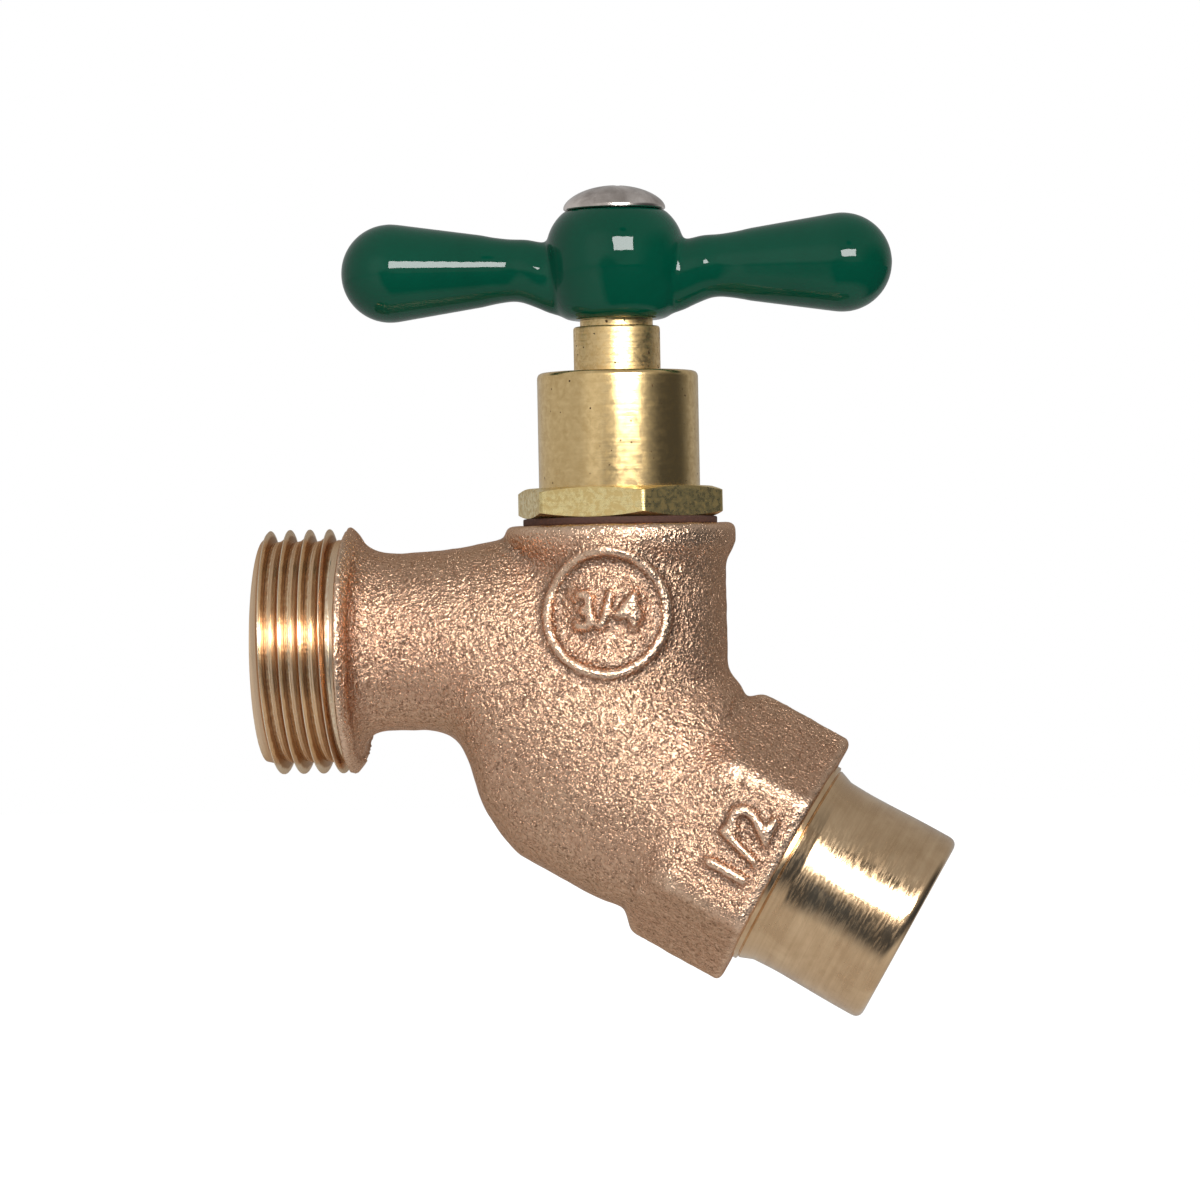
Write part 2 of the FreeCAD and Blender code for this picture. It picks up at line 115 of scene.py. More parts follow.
@dataclass(frozen=True)
class Datum:
    """Where the tap's axes lie in the frame, in metres.

    Local Z runs up the stem from the neck's top face, and out of the outlet and the inlet from their
    mouths, so that what lies inside the tap has a negative height.
    """

    neck_face: Vector
    outlet_mouth: Vector
    inlet_mouth: Vector
    inlet_run: Vector

    @classmethod
    def from_frame(cls, packed: dict) -> "Datum":
        """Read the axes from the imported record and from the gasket's place.

        Args:
            packed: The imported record.

        Returns:
            The three axes with their starting points.
        """
        mounts = {mount["name"]: mount for mount in packed["mounts"]}
        joints = {joint["name"]: joint for joint in packed["behaviour"]["joints"]}
        stem = Vector(joints["handle_turn"]["pos_m"])
        outlet = Vector(mounts["hose_thread"]["pos_m"])
        face = Vector(mounts["hose_washer_face"]["pos_m"])
        return cls(
            neck_face=Vector((stem.x, stem.y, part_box("bonnet_gasket")[0].z)),
            outlet_mouth=Vector((face.x, outlet.y, outlet.z)),
            inlet_mouth=Vector(mounts["inlet_cup"]["pos_m"]),
            inlet_run=Vector(mounts["inlet_cup"]["axis"]).normalized(),
        )

    def seat(self, axis: Axis) -> Matrix:
        """Give the matrix that carries millimetres about local Z to an axis of the frame.

        Args:
            axis: The axis to carry the shape to.

        Returns:
            A matrix of scale, turn and place.
        """
        start, run = {
            Axis.STEM: (self.neck_face, Vector((0, 0, 1))),
            Axis.OUTLET: (self.outlet_mouth, Vector((-1, 0, 0))),
            Axis.INLET: (self.inlet_mouth, self.inlet_run),
        }[axis]
        turn = Vector((0, 0, 1)).rotation_difference(run).to_matrix().to_4x4()
        return Matrix.Translation(start) @ turn @ Matrix.Scale(MM, 4)


datum = Datum.from_frame(frame["record"])


# Shapes


def softened(corners: Sequence[Corner], ring: bool = False, steps: int = 4) -> list[Point]:
    """Round the corners of an outline, taking less than half of each side.

    Args:
        corners: Points as (radius, height), with a third value where the corner is rounded by it.
        ring: True if the last corner joins the first.
        steps: Straight pieces in each rounded corner.

    Returns:
        The outline's points.
    """
    points: list[Point] = []
    count = len(corners)
    most = 0.49
    for index, corner in enumerate(corners):
        here = Vector(corner[:2])
        if len(corner) < 3 or (not ring and index in (0, count - 1)):
            points.append((here.x, here.y))
            continue
        before = Vector(corners[index - 1][:2]) - here
        after = Vector(corners[(index + 1) % count][:2]) - here
        half = before.angle(after) / 2
        reach = min(corner[2] / math.tan(half), before.length * most, after.length * most)
        start = here + before.normalized() * reach
        end = here + after.normalized() * reach
        for step in range(steps + 1):
            share = step / steps
            spot = start * (1 - share) ** 2 + here * 2 * share * (1 - share) + end * share ** 2
            points.append((spot.x, spot.y))
    return points


def turned(outline: Sequence[Point], ring: bool = False, steps: int = 160) -> Mesh:
    """Turn an outline of (radius, height) points about local Z.

    Args:
        outline: The outline's points, from axis to axis, or a closed loop.
        ring: True if the outline is a closed loop.
        steps: Facets round the axis.

    Returns:
        A closed mesh in millimetres.
    """
    mesh = bmesh.new()
    verts = [mesh.verts.new((radius, 0.0, height)) for radius, height in outline]
    following = verts[1:] + verts[:1] if ring else verts[1:]
    edges = [mesh.edges.new(pair) for pair in zip(verts, following)]
    bmesh.ops.spin(
        mesh, geom=verts + edges, cent=(0, 0, 0), axis=(0, 0, 1), dvec=(0, 0, 0),
        angle=math.tau, steps=steps, use_merge=True, use_duplicate=False,
    )
    bmesh.ops.remove_doubles(mesh, verts=mesh.verts, dist=1e-5)
    bmesh.ops.recalc_face_normals(mesh, faces=mesh.faces)
    return mesh


def block(size: Corner, middle: float) -> Mesh:
    """Make a box on local Z.

    Args:
        size: Its width, depth and height in millimetres.
        middle: The height of its middle.

    Returns:
        A closed mesh in millimetres.
    """
    mesh = bmesh.new()
    bmesh.ops.create_cube(mesh, size=1.0)
    bmesh.ops.scale(mesh, vec=size, verts=mesh.verts)
    bmesh.ops.translate(mesh, vec=(0, 0, middle), verts=mesh.verts)
    return mesh


def added(base: Mesh, more: Mesh) -> Mesh:
    """Put the faces of one mesh into another.

    Args:
        base: The mesh that gets the faces.
        more: The mesh that gives them; it is freed.

    Returns:
        The first mesh.
    """
    carrier = bpy.data.meshes.new("carrier")
    more.to_mesh(carrier)
    more.free()
    base.from_mesh(carrier)
    bpy.data.meshes.remove(carrier)
    return base


def opened(made: bpy.types.Object) -> Mesh:
    """Open an object's mesh for the mesh operators.

    Args:
        made: The object, which keeps its mesh until the opened one is written back.

    Returns:
        A copy of its mesh.
    """
    mesh = bmesh.new()
    mesh.from_mesh(made.data)
    return mesh


def closed(mesh: Mesh, made: bpy.types.Object) -> None:
    """Write an opened mesh back into its object, and free it."""
    mesh.to_mesh(made.data)
    mesh.free()


def as_object(mesh: Mesh, name: str) -> bpy.types.Object:
    """Turn a mesh into an object at the origin.

    Args:
        mesh: The shape, already in its place; it is freed.
        name: The object's name.

    Returns:
        The new object, linked to the scene.
    """
    made = bpy.data.objects.new(name, bpy.data.meshes.new(name))
    closed(mesh, made)
    bpy.context.scene.collection.objects.link(made)
    return made


def settled(made: bpy.types.Object) -> None:
    """Apply every modifier of an object to its mesh.

    Args:
        made: The object to change.
    """
    bpy.context.view_layer.update()
    depsgraph = bpy.context.evaluated_depsgraph_get()
    rough = made.data
    baked = bpy.data.meshes.new_from_object(made.evaluated_get(depsgraph))
    made.modifiers.clear()
    made.data = baked
    bpy.data.meshes.remove(rough)
    baked.name = made.name


def combined(base: bpy.types.Object, tool: Mesh, how: Cut) -> None:
    """Apply a boolean to an object.

    Args:
        base: The object to change.
        tool: The closed shape that works on it, in the same frame; it is freed.
        how: What to do with the tool.
    """
    helper = as_object(tool, "tool")
    work = base.modifiers.new("combine", "BOOLEAN")
    work.operation = how.value
    work.solver = "EXACT"
    work.object = helper
    settled(base)
    bpy.data.meshes.remove(helper.data)


def remeshed(made: bpy.types.Object, voxel: float) -> None:
    """Wrap an object's shells in one even skin.

    Args:
        made: The object to change.
        voxel: The skin's grid in millimetres.
    """
    wrap = made.modifiers.new("skin", "REMESH")
    wrap.mode = "VOXEL"
    wrap.voxel_size = voxel * MM
    settled(made)


def node_copy(node: str) -> Mesh:
    """Copy a CAD node's mesh with its loose triangles merged.

    Args:
        node: The node's name.

    Returns:
        A closed mesh in the frame's metres.
    """
    mesh = opened(frame["nodes"][node])
    bmesh.ops.remove_doubles(mesh, verts=mesh.verts, dist=1e-7)
    return mesh


def trimmed(mesh: Mesh, spot: Vector, outward: Vector) -> None:
    """Cut a mesh with a plane, drop what lies outward and close the cut.

    Args:
        mesh: The closed mesh to cut.
        spot: A point of the plane.
        outward: The plane's normal, towards what is dropped.
    """
    cut = bmesh.ops.bisect_plane(
        mesh, geom=mesh.verts[:] + mesh.edges[:] + mesh.faces[:], dist=1e-8,
        plane_co=spot, plane_no=outward, clear_outer=True,
    )
    rim = [part for part in cut["geom_cut"] if isinstance(part, bmesh.types.BMEdge)]
    bmesh.ops.triangle_fill(mesh, use_beauty=True, edges=rim, normal=outward)


def smoothed(mesh: Mesh, verts: Sequence[bmesh.types.BMVert], rounds: int) -> None:
    """Move points halfway to their neighbours, round after round.

    Args:
        mesh: The mesh to change.
        verts: The points that move.
        rounds: How often they move.
    """
    for _ in range(rounds):
        bmesh.ops.smooth_vert(
            mesh, verts=verts, factor=0.5, use_axis_x=True, use_axis_y=True, use_axis_z=True,
        )


def relaxed(
    made: bpy.types.Object, rounds: int, moves: Callable[[Vector], bool] = lambda spot: True
) -> None:
    """Smooth an object's skin.

    Args:
        made: The object to change.
        rounds: How often each point moves halfway to its neighbours.
        moves: Tells by its place in the frame whether a point moves.
    """
    mesh = opened(made)
    smoothed(mesh, [vert for vert in mesh.verts if moves(vert.co)], rounds)
    closed(mesh, made)


# Finishes


class Graph:
    """Adds nodes to one tree and links them."""

    def __init__(self, tree: bpy.types.NodeTree) -> None:
        """Start on a tree."""
        self.tree = tree

    def add(self, kind: str, feeds: Optional[dict] = None, **settings: object) -> bpy.types.Node:
        """Add one node.

        Args:
            kind: Blender's name of the node's type.
            feeds: What goes into its inputs, by name or number: a socket or a value.
            settings: Values of the node itself.

        Returns:
            The new node.
        """
        node = self.tree.nodes.new(kind)
        for name, value in settings.items():
            setattr(node, name, value)
        for slot, feed in (feeds or {}).items():
            if isinstance(feed, Socket):
                self.tree.links.new(feed, node.inputs[slot])
            else:
                node.inputs[slot].default_value = feed
        return node

    def feed(self, node: bpy.types.Node, **results: Socket) -> None:
        """Link results to a node's inputs, named with underscores for spaces."""
        for label, result in results.items():
            self.tree.links.new(result, node.inputs[label.replace("_", " ")])

    def calc(self, operation: str, first: Feed, second: Feed = 0.0) -> Socket:
        """Add one step of arithmetic and give its result."""
        return self.add("ShaderNodeMath", {0: first, 1: second}, operation=operation).outputs[0]

    def times(self, first: Feed, second: Feed) -> Socket:
        """Multiply two levels and give the result."""
        return self.calc("MULTIPLY", first, second)

    def weighed(self, first: Feed, share: float, second: Feed, rest: float) -> Socket:
        """Add two levels, each multiplied by its own weight, and give the result."""
        return self.calc("ADD", self.times(first, share), self.times(second, rest))

    def span(
        self, value: Feed, low: float, high: float, to_low: float = 0.0, to_high: float = 1.0
    ) -> Socket:
        """Map a range of values onto another, held at both ends, and give the result."""
        feeds = {0: value, 1: low, 2: high, 3: to_low, 4: to_high}
        return self.add("ShaderNodeMapRange", feeds).outputs[0]

    def mix(self, share: Feed, first: Feed, second: Feed) -> Socket:
        """Blend two colours.

        Args:
            share: How much of the second colour there is.
            first: The colour at a share of 0, a socket or three values.
            second: The colour at a share of 1.

        Returns:
            The blended colour.
        """
        ends = [(*end, 1.0) if isinstance(end, tuple) else end for end in (first, second)]
        feeds = {0: share, 6: ends[0], 7: ends[1]}
        return self.add("ShaderNodeMix", feeds, data_type="RGBA").outputs[2]

    def noise(self, vector: Feed, scale: Feed, **values: float) -> Socket:
        """Add a noise texture and give its level."""
        return self.add("ShaderNodeTexNoise", {"Vector": vector, "Scale": scale, **values}).outputs[0]

    def stretch(self, vector: Feed, factors: Corner) -> Socket:
        """Multiply a vector's three values by their own factors and give the result."""
        return self.add("ShaderNodeVectorMath", {0: vector, 1: factors}, operation="MULTIPLY").outputs[0]

    def facing(self, way: Feed, towards: Sequence[float]) -> Socket:
        """Give the cosine of the angle between two directions."""
        node = self.add("ShaderNodeVectorMath", {0: way, 1: towards}, operation="DOT_PRODUCT")
        return node.outputs["Value"]

    def place(self, axis: Axis = Axis.STEM) -> Socket:
        """Give Object coordinates with Z along one of the tap's axes, measured from its start.

        Args:
            axis: The axis.

        Returns:
            The coordinates, in metres.
        """
        seat = datum.seat(axis)
        spot = self.add("ShaderNodeTexCoord").outputs["Object"]
        feeds = {"Vector": spot, "Location": seat.translation, "Rotation": seat.to_euler()}
        return self.add("ShaderNodeMapping", feeds, vector_type="TEXTURE").outputs[0]


class Effect:
    """A shader node group that several finishes use, built once."""

    def __init__(self, name: str, takes: dict[str, float], gives: Sequence[str]) -> None:
        """Make the group and its sockets.

        Args:
            name: The group's name.
            takes: Its number inputs with their usual values; a Vector input comes first by itself.
            gives: Its number outputs.
        """
        self.tree = bpy.data.node_groups.new(name, "ShaderNodeTree")
        face = self.tree.interface
        face.new_socket(name="Vector", in_out="INPUT", socket_type="NodeSocketVector")
        for label, usual in takes.items():
            face.new_socket(name=label, in_out="INPUT", socket_type="NodeSocketFloat").default_value = usual
        for label in gives:
            face.new_socket(name=label, in_out="OUTPUT", socket_type="NodeSocketFloat")
        self.graph = Graph(self.tree)
        self.inside = self.graph.add("NodeGroupInput").outputs
        self.result = self.graph.add("NodeGroupOutput").inputs

    def give(self, label: str, value: Socket) -> None:
        """Link a result to one of the group's outputs."""
        self.tree.links.new(value, self.result[label])

    def scaled(self, size: Socket) -> Socket:
        """Give the scale at which a texture's features have a size."""
        return self.graph.calc("DIVIDE", 1.0, size)

    def use(self, graph: Graph, vector: Socket, **values: float) -> bpy.types.NodeOutputs:
        """Place the group in a material.

        Args:
            graph: The material's graph.
            vector: The coordinates it works on.
            values: Its own values, with underscores for spaces.

        Returns:
            The group's outputs.
        """
        feeds = {label.replace("_", " "): value for label, value in values.items()}
        return graph.add("ShaderNodeGroup", {"Vector": vector, **feeds}, node_tree=self.tree).outputs


def sand_grain() -> Effect:
    """Build the skin that moulding sand leaves.

    Returns:
        A group that gives the grains' height, their tone and a mask of the cavities between them, where
        shade is painted.
    """
    patch_scale, ragged = 0.6, 0.12
    crown_height, tooth_height, cavity_depth = -0.6, 1.3, 0.35
    effect = Effect("sand_grain", {"Grain": 0.0005}, ("Height", "Tone", "Cavity"))
    graph, vector = effect.graph, effect.inside["Vector"]
    scale = effect.scaled(effect.inside["Grain"])
    cells = {"Vector": vector, "Scale": scale}
    soft = graph.add("ShaderNodeTexVoronoi", {**cells, "Smoothness": 0.6}, feature="SMOOTH_F1")
    crowns = soft.outputs["Distance"]
    edges = graph.add("ShaderNodeTexVoronoi", cells, feature="DISTANCE_TO_EDGE").outputs["Distance"]
    teeth = graph.noise(vector, scale, Detail=3.0, Roughness=0.62)
    patches = graph.noise(vector, graph.times(scale, patch_scale))
    gap = graph.span(graph.calc("ADD", edges, graph.times(teeth, ragged)), 0.06, 0.14, 1.0, 0.0)
    cavity = graph.times(gap, graph.span(patches, 0.42, 0.58))
    height = graph.weighed(crowns, crown_height, teeth, tooth_height)
    effect.give("Height", graph.calc("SUBTRACT", height, graph.times(cavity, cavity_depth)))
    effect.give("Tone", teeth)
    effect.give("Cavity", cavity)
    return effect


def turning_lines() -> Effect:
    """Build the fine rings that a lathe tool leaves round local Z, and the short strokes of a brush.

    Returns:
        A group that gives the rings' height, their tone and a mask of the rougher strokes.
    """
    ring_stretch, stroke_stretch, broad_scale = (0.012, 0.012, 1.0), (0.16, 0.16, 1.0), 0.2
    effect = Effect("turning_lines", {"Line": 0.00018}, ("Height", "Tone", "Stroke"))
    graph, vector = effect.graph, effect.inside["Vector"]
    scale = effect.scaled(effect.inside["Line"])
    rings = graph.stretch(vector, ring_stretch)
    lines = graph.noise(rings, scale, Detail=3.0, Roughness=0.7)
    broad = graph.noise(rings, graph.times(scale, broad_scale), Detail=1.0)
    strokes = graph.noise(graph.stretch(vector, stroke_stretch), scale, Detail=2.0, Roughness=0.65)
    effect.give("Height", lines)
    effect.give("Tone", graph.weighed(lines, 0.5, broad, 0.5))
    effect.give("Stroke", graph.span(strokes, 0.44, 0.6))
    return effect


def pitting() -> Effect:
    """Build small scattered pits.

    Returns:
        A group that gives a mask, which is 1 in the pits.
    """
    jitter_scale, jitter_reach, least_width = 1800.0, 0.0005, 0.4
    effect = Effect("pitting", {"Spacing": 0.0011, "Share": 0.2, "Width": 0.16}, ("Mask",))
    graph, inside = effect.graph, effect.inside
    feeds = {"Vector": inside["Vector"], "Scale": jitter_scale, "Detail": 2.0}
    jitter = graph.add("ShaderNodeTexNoise", feeds).outputs["Color"]
    push = graph.stretch(jitter, (jitter_reach, jitter_reach, jitter_reach))
    spot = graph.add("ShaderNodeVectorMath", {0: inside["Vector"], 1: push}, operation="ADD").outputs[0]
    cells = graph.add("ShaderNodeTexVoronoi", {"Vector": spot, "Scale": effect.scaled(inside["Spacing"])})
    pick = graph.add("ShaderNodeSeparateColor", {0: cells.outputs["Color"]}).outputs[0]
    chosen = graph.calc("LESS_THAN", pick, inside["Share"])
    reach = graph.times(inside["Width"], graph.calc("ADD", pick, least_width))
    near = graph.calc("LESS_THAN", cells.outputs["Distance"], reach)
    effect.give("Mask", graph.times(chosen, near))
    return effect


def tarnish() -> Effect:
    """Build the slow clouds of a handled metal's tarnish.

    Returns:
        A group that gives the clouds' tone.
    """
    effect = Effect("tarnish", {"Cloud": 0.006}, ("Tone",))
    graph, inside = effect.graph, effect.inside
    scale = effect.scaled(inside["Cloud"])
    clouds = graph.noise(inside["Vector"], scale, Detail=4.0, Roughness=0.6, Distortion=0.4)
    effect.give("Tone", graph.span(clouds, 0.3, 0.7))
    return effect


@dataclass(frozen=True)
class Effects:
    """The shared effects, each built once."""

    grain: Effect
    lines: Effect
    pits: Effect
    clouds: Effect


effects = Effects(sand_grain(), turning_lines(), pitting(), tarnish())


class Finish:
    """A material with one Principled shader, which its own kinds dress."""

    name = "finish"

    def shader(self, **values: object) -> tuple[bpy.types.Material, Graph, bpy.types.Node]:
        """Start the material.

        Args:
            values: Plain values of the shader's sockets, with underscores for spaces.

        Returns:
            The material, its graph and its shader.
        """
        material = bpy.data.materials.new(self.name)
        material.use_nodes = True
        material.node_tree.nodes.clear()
        graph = Graph(material.node_tree)
        feeds = {label.replace("_", " "): value for label, value in values.items()}
        shader = graph.add("ShaderNodeBsdfPrincipled", feeds)
        graph.add("ShaderNodeOutputMaterial", {"Surface": shader.outputs[0]})
        return material, graph, shader

    @staticmethod
    def relief(graph: Graph, height: Feed, depth: float) -> Socket:
        """Turn a height into a normal.

        Args:
            graph: The material's graph.
            height: The height, from about 0 to 1.
            depth: How far a height of 1 stands up, in metres.

        Returns:
            The normal.
        """
        feeds = {"Height": height, "Distance": depth, "Strength": 1.0}
        return graph.add("ShaderNodeBump", feeds).outputs[0]

    def material(self) -> bpy.types.Material:
        """Build the material."""
        raise NotImplementedError


@dataclass(frozen=True)
class CastBronze(Finish):
    """Sand-cast red bronze: bright grain, painted shade in the cavities between grains, paler where it
    stands out, painted shade in nooks.
    """

    name: str = "cast_bronze"
    crown: Colour = (0.94, 0.63, 0.43)
    crown_span: Point = (0.38, 0.62)
    hollow: Colour = (0.66, 0.40, 0.255)
    stain: Colour = (0.80, 0.46, 0.31)
    stain_share: float = 0.4
    stain_size: float = 0.008
    # Painted shade: a dark colour laid into the cavities between grains, in place of the shadow they would
    # cast.
    cavity: Colour = (0.17, 0.095, 0.06)
    cavity_shade_share: float = 0.9
    cavity_rough: float = 0.3
    worn: Colour = (1.0, 0.74, 0.54)
    worn_span: Point = (0.25, 1.0)
    worn_share: float = 0.5
    worn_smooth: float = 0.6
    # Painted shade: a darker colour laid in nooks, where the skin sinks below its smoothed surroundings.
    nook_shade: Colour = (0.36, 0.26, 0.195)
    nook_shade_span: Point = (-1.0, -0.2)
    nook_shade_share: float = 0.65
    limb: Colour = (0.74, 0.58, 0.46)
    grain: float = 0.0004
    depth: float = 0.0002
    shine: Point = (0.14, 0.32)

    def material(self) -> bpy.types.Material:
        """Build the cast skin.

        Returns:
            The material, which reads the attribute STANDS_OUT.
        """
        material, graph, shader = self.shader(Metallic=1.0, Specular_Tint=(*self.limb, 1.0))
        spot = graph.place()
        grain = effects.grain.use(graph, spot, Grain=self.grain)
        clouds = effects.clouds.use(graph, spot, Cloud=self.stain_size)["Tone"]
        crown = graph.span(grain["Tone"], *self.crown_span)
        stands = graph.add("ShaderNodeAttribute", attribute_name=STANDS_OUT).outputs["Fac"]
        worn = graph.span(stands, *self.worn_span)
        rest = graph.calc("SUBTRACT", 1.0, graph.times(worn, self.worn_smooth))
        cavity = graph.times(grain["Cavity"], rest)
        skin = graph.mix(crown, self.hollow, self.crown)
        skin = graph.mix(graph.times(clouds, self.stain_share), skin, self.stain)
        # Painted shade: the cavities between grains are darkened.
        skin = graph.mix(graph.times(cavity, self.cavity_shade_share), skin, self.cavity)
        skin = graph.mix(graph.times(worn, self.worn_share), skin, self.worn)
        # Painted shade: nooks are darkened.
        skin = graph.mix(graph.span(stands, *self.nook_shade_span, self.nook_shade_share, 0.0), skin, self.nook_shade)
        rough = graph.span(crown, 0.0, 1.0, self.shine[1], self.shine[0])
        rough = graph.calc("ADD", rough, graph.times(cavity, self.cavity_rough))
        normal = self.relief(graph, graph.times(grain["Height"], rest), self.depth)
        graph.feed(shader, Base_Color=skin, Roughness=rough, Normal=normal)
        return material


@dataclass(frozen=True)
class TurnedMetal(Finish):
    """Metal fresh off a lathe: fine rings, faint clouds, a few dark pits and brushed strokes."""

    name: str = "turned_brass"
    axis: Axis = Axis.STEM
    bright: Colour = (1.0, 0.73, 0.36)
    dull: Colour = (0.80, 0.56, 0.25)
    pit: Colour = (0.13, 0.08, 0.04)
    pit_share: float = 0.0
    pit_rough: float = 0.4
    line: float = 0.0003
    line_share: float = 0.6
    cloud: float = 0.006
    tone_reach: float = 0.25
    contrast: float = 1.0
    depth: float = 0.000004
    shine: Point = (0.14, 0.24)
    brushed: float = 0.0

    def material(self) -> bpy.types.Material:
        """Build the turned skin.

        Returns:
            The material, whose rings run round the finish's axis.
        """
        material, graph, shader = self.shader(Metallic=1.0)
        spot = graph.place(self.axis)
        lines = effects.lines.use(graph, spot, Line=self.line)
        clouds = effects.clouds.use(graph, spot, Cloud=self.cloud)["Tone"]
        tone = graph.weighed(lines["Tone"], self.line_share, clouds, 1.0 - self.line_share)
        reach = self.tone_reach / self.contrast
        skin = graph.mix(graph.span(tone, 0.5 - reach, 0.5 + reach), self.dull, self.bright)
        rough = graph.span(tone, 0.5 - reach, 0.5 + reach, self.shine[1], self.shine[0])
        if self.pit_share:
            pits = effects.pits.use(graph, spot, Share=self.pit_share)["Mask"]
            skin = graph.mix(pits, skin, self.pit)
            rough = graph.calc("ADD", rough, graph.times(pits, self.pit_rough))
        if self.brushed:
            rough = graph.calc("ADD", rough, graph.times(lines["Stroke"], self.brushed))
        normal = self.relief(graph, lines["Height"], self.depth)
        graph.feed(shader, Base_Color=skin, Roughness=rough, Normal=normal)
        return material


@dataclass(frozen=True)
class ThreadCut(Finish):
    """A chased thread: painted highlights on the crests, painted shade on the back flanks, chattered roots
    with painted glints and brown front flanks.

    The zones are shares of the pitch, counted from a crest: where each starts, is full, fades and ends.
    """

    name: str = "cut_bronze"
    axis: Axis = Axis.OUTLET
    pitch: float = 0.0022087
    first_crest: float = -0.00064
    # Painted highlight: a pale colour laid along the crests.
    crest: Colour = (1.0, 0.90, 0.72)
    crest_highlight_zone: Zone = (0.92, 0.95, 0.02, 0.05)
    # Painted shade: a dark colour laid on the back flanks; the rings' random tone also blends towards it.
    back: Colour = (0.42, 0.27, 0.17)
    back_flank_shade_zone: Zone = (0.78, 0.82, 0.91, 0.95)
    # The roots' real chatter dots, coloured pale as painted glints.
    chatter_glint: Colour = (1.0, 0.82, 0.60)
    root_zone: Zone = (0.60, 0.65, 0.78, 0.82)
    front: Colour = (1.0, 0.74, 0.50)
    limb: Colour = (0.74, 0.56, 0.42)
    line: float = 0.00016
    line_shade: float = 0.4
    line_height: float = 0.12
    waver: float = 0.06
    waver_scale: float = 900.0
    dot_scale: float = 2400.0
    depth: float = 0.00004
    shine: Point = (0.18, 0.34)

    def phase(self, graph: Graph, spot: Socket) -> Socket:
        """Follow the helix.

        Args:
            graph: The material's graph.
            spot: Coordinates along the thread's axis.

        Returns:
            How far a place lies from one crest to the next, from 0 to 1, a little wavering.
        """
        parts = graph.add("ShaderNodeSeparateXYZ", {0: spot}).outputs
        angle = graph.calc("ARCTAN2", parts["Y"], parts["X"])
        rise = graph.calc("DIVIDE", graph.calc("SUBTRACT", parts["Z"], self.first_crest), self.pitch)
        turns = graph.calc("SUBTRACT", rise, graph.calc("DIVIDE", angle, math.tau))
        waver = graph.times(graph.noise(spot, self.waver_scale, Detail=2.0), self.waver)
        return graph.calc("FRACT", graph.calc("ADD", turns, waver))

    @staticmethod
    def zone(graph: Graph, phase: Feed, edges: Zone) -> Socket:
        """Mask a zone of the pitch.

        Args:
            graph: The material's graph.
            phase: The place between two crests.
            edges: The zone's four limits; one that runs past a crest starts after it ends.

        Returns:
            The mask, which is 1 inside the zone.
        """
        start, full, fade, end = edges
        joined = "ADD" if start > end else "MULTIPLY"
        return graph.calc(joined, graph.span(phase, start, full), graph.span(phase, fade, end, 1.0, 0.0))

    def material(self) -> bpy.types.Material:
        """Build the cut skin.

        Returns:
            The material, whose zones follow the helix.
        """
        material, graph, shader = self.shader(Metallic=1.0, Specular_Tint=(*self.limb, 1.0))
        spot = graph.place(self.axis)
        phase = self.phase(graph, spot)
        lines = effects.lines.use(graph, spot, Line=self.line)
        dots = graph.noise(spot, self.dot_scale, Detail=1.0)
        root = self.zone(graph, phase, self.root_zone)
        shade = graph.span(lines["Tone"], 0.35, 0.65, self.line_shade, 0.0)
        skin = graph.mix(shade, self.front, self.back)
        # Painted shade on the back flanks.
        skin = graph.mix(self.zone(graph, phase, self.back_flank_shade_zone), skin, self.back)
        # Painted glints on the roots' chatter dots, which also raise the relief.
        skin = graph.mix(graph.times(root, graph.span(dots, 0.42, 0.58)), skin, self.chatter_glint)
        # Painted highlight on the crests.
        skin = graph.mix(self.zone(graph, phase, self.crest_highlight_zone), skin, self.crest)
        rough = graph.span(lines["Tone"], 0.3, 0.7, self.shine[1], self.shine[0])
        height = graph.calc("ADD", graph.times(root, dots), graph.times(lines["Height"], self.line_height))
        graph.feed(shader, Base_Color=skin, Roughness=rough, Normal=self.relief(graph, height, self.depth))
        return material


@dataclass(frozen=True)
class GreenEnamel(Finish):
    """Thick dark green enamel, dipped, with a glass-like top."""

    name: str = "green_enamel"
    deep: Colour = (0.0004, 0.058, 0.031)
    light: Colour = (0.0006, 0.074, 0.041)
    cloud: float = 0.012
    peel_scale: float = 420.0
    peel_depth: float = 0.00001

    def material(self) -> bpy.types.Material:
        """Build the enamel.

        Returns:
            The material.
        """
        material, graph, shader = self.shader(
            Roughness=0.35, Coat_Weight=1.0, Coat_Roughness=0.03, Coat_IOR=1.36, Specular_IOR_Level=0.0,
        )
        spot = graph.place()
        clouds = effects.clouds.use(graph, spot, Cloud=self.cloud)["Tone"]
        peel = self.relief(graph, graph.noise(spot, self.peel_scale, Detail=1.0), self.peel_depth)
        skin = graph.mix(clouds, self.deep, self.light)
        graph.feed(shader, Base_Color=skin, Normal=peel, Coat_Normal=peel)
        return material


@dataclass(frozen=True)
class NickelPlate(Finish):
    """Bright nickel plate with a pinkish cast and hairline scratches."""

    name: str = "nickel_plate"
    bright: Colour = (0.97, 0.88, 0.82)
    dull: Colour = (0.42, 0.36, 0.32)
    cloud: float = 0.003
    shine: Point = (0.14, 0.24)
    hair_scale: float = 5000.0
    hair_turn: float = 0.6
    hair_stretch: Corner = (1.0, 0.05, 1.0)
    hair_depth: float = 0.000003

    def material(self) -> bpy.types.Material:
        """Build the plate.

        Returns:
            The material.
        """
        material, graph, shader = self.shader(Metallic=1.0)
        spot = graph.place()
        clouds = effects.clouds.use(graph, spot, Cloud=self.cloud)["Tone"]
        feeds = {"Vector": spot, "Rotation": (0.0, 0.0, self.hair_turn), "Scale": self.hair_stretch}
        long = graph.add("ShaderNodeMapping", feeds).outputs[0]
        hairs = self.relief(graph, graph.noise(long, self.hair_scale, Detail=2.0), self.hair_depth)
        rough = graph.span(clouds, 0.0, 1.0, self.shine[1], self.shine[0])
        skin = graph.mix(clouds, self.dull, self.bright)
        graph.feed(shader, Base_Color=skin, Roughness=rough, Normal=hairs)
        return material


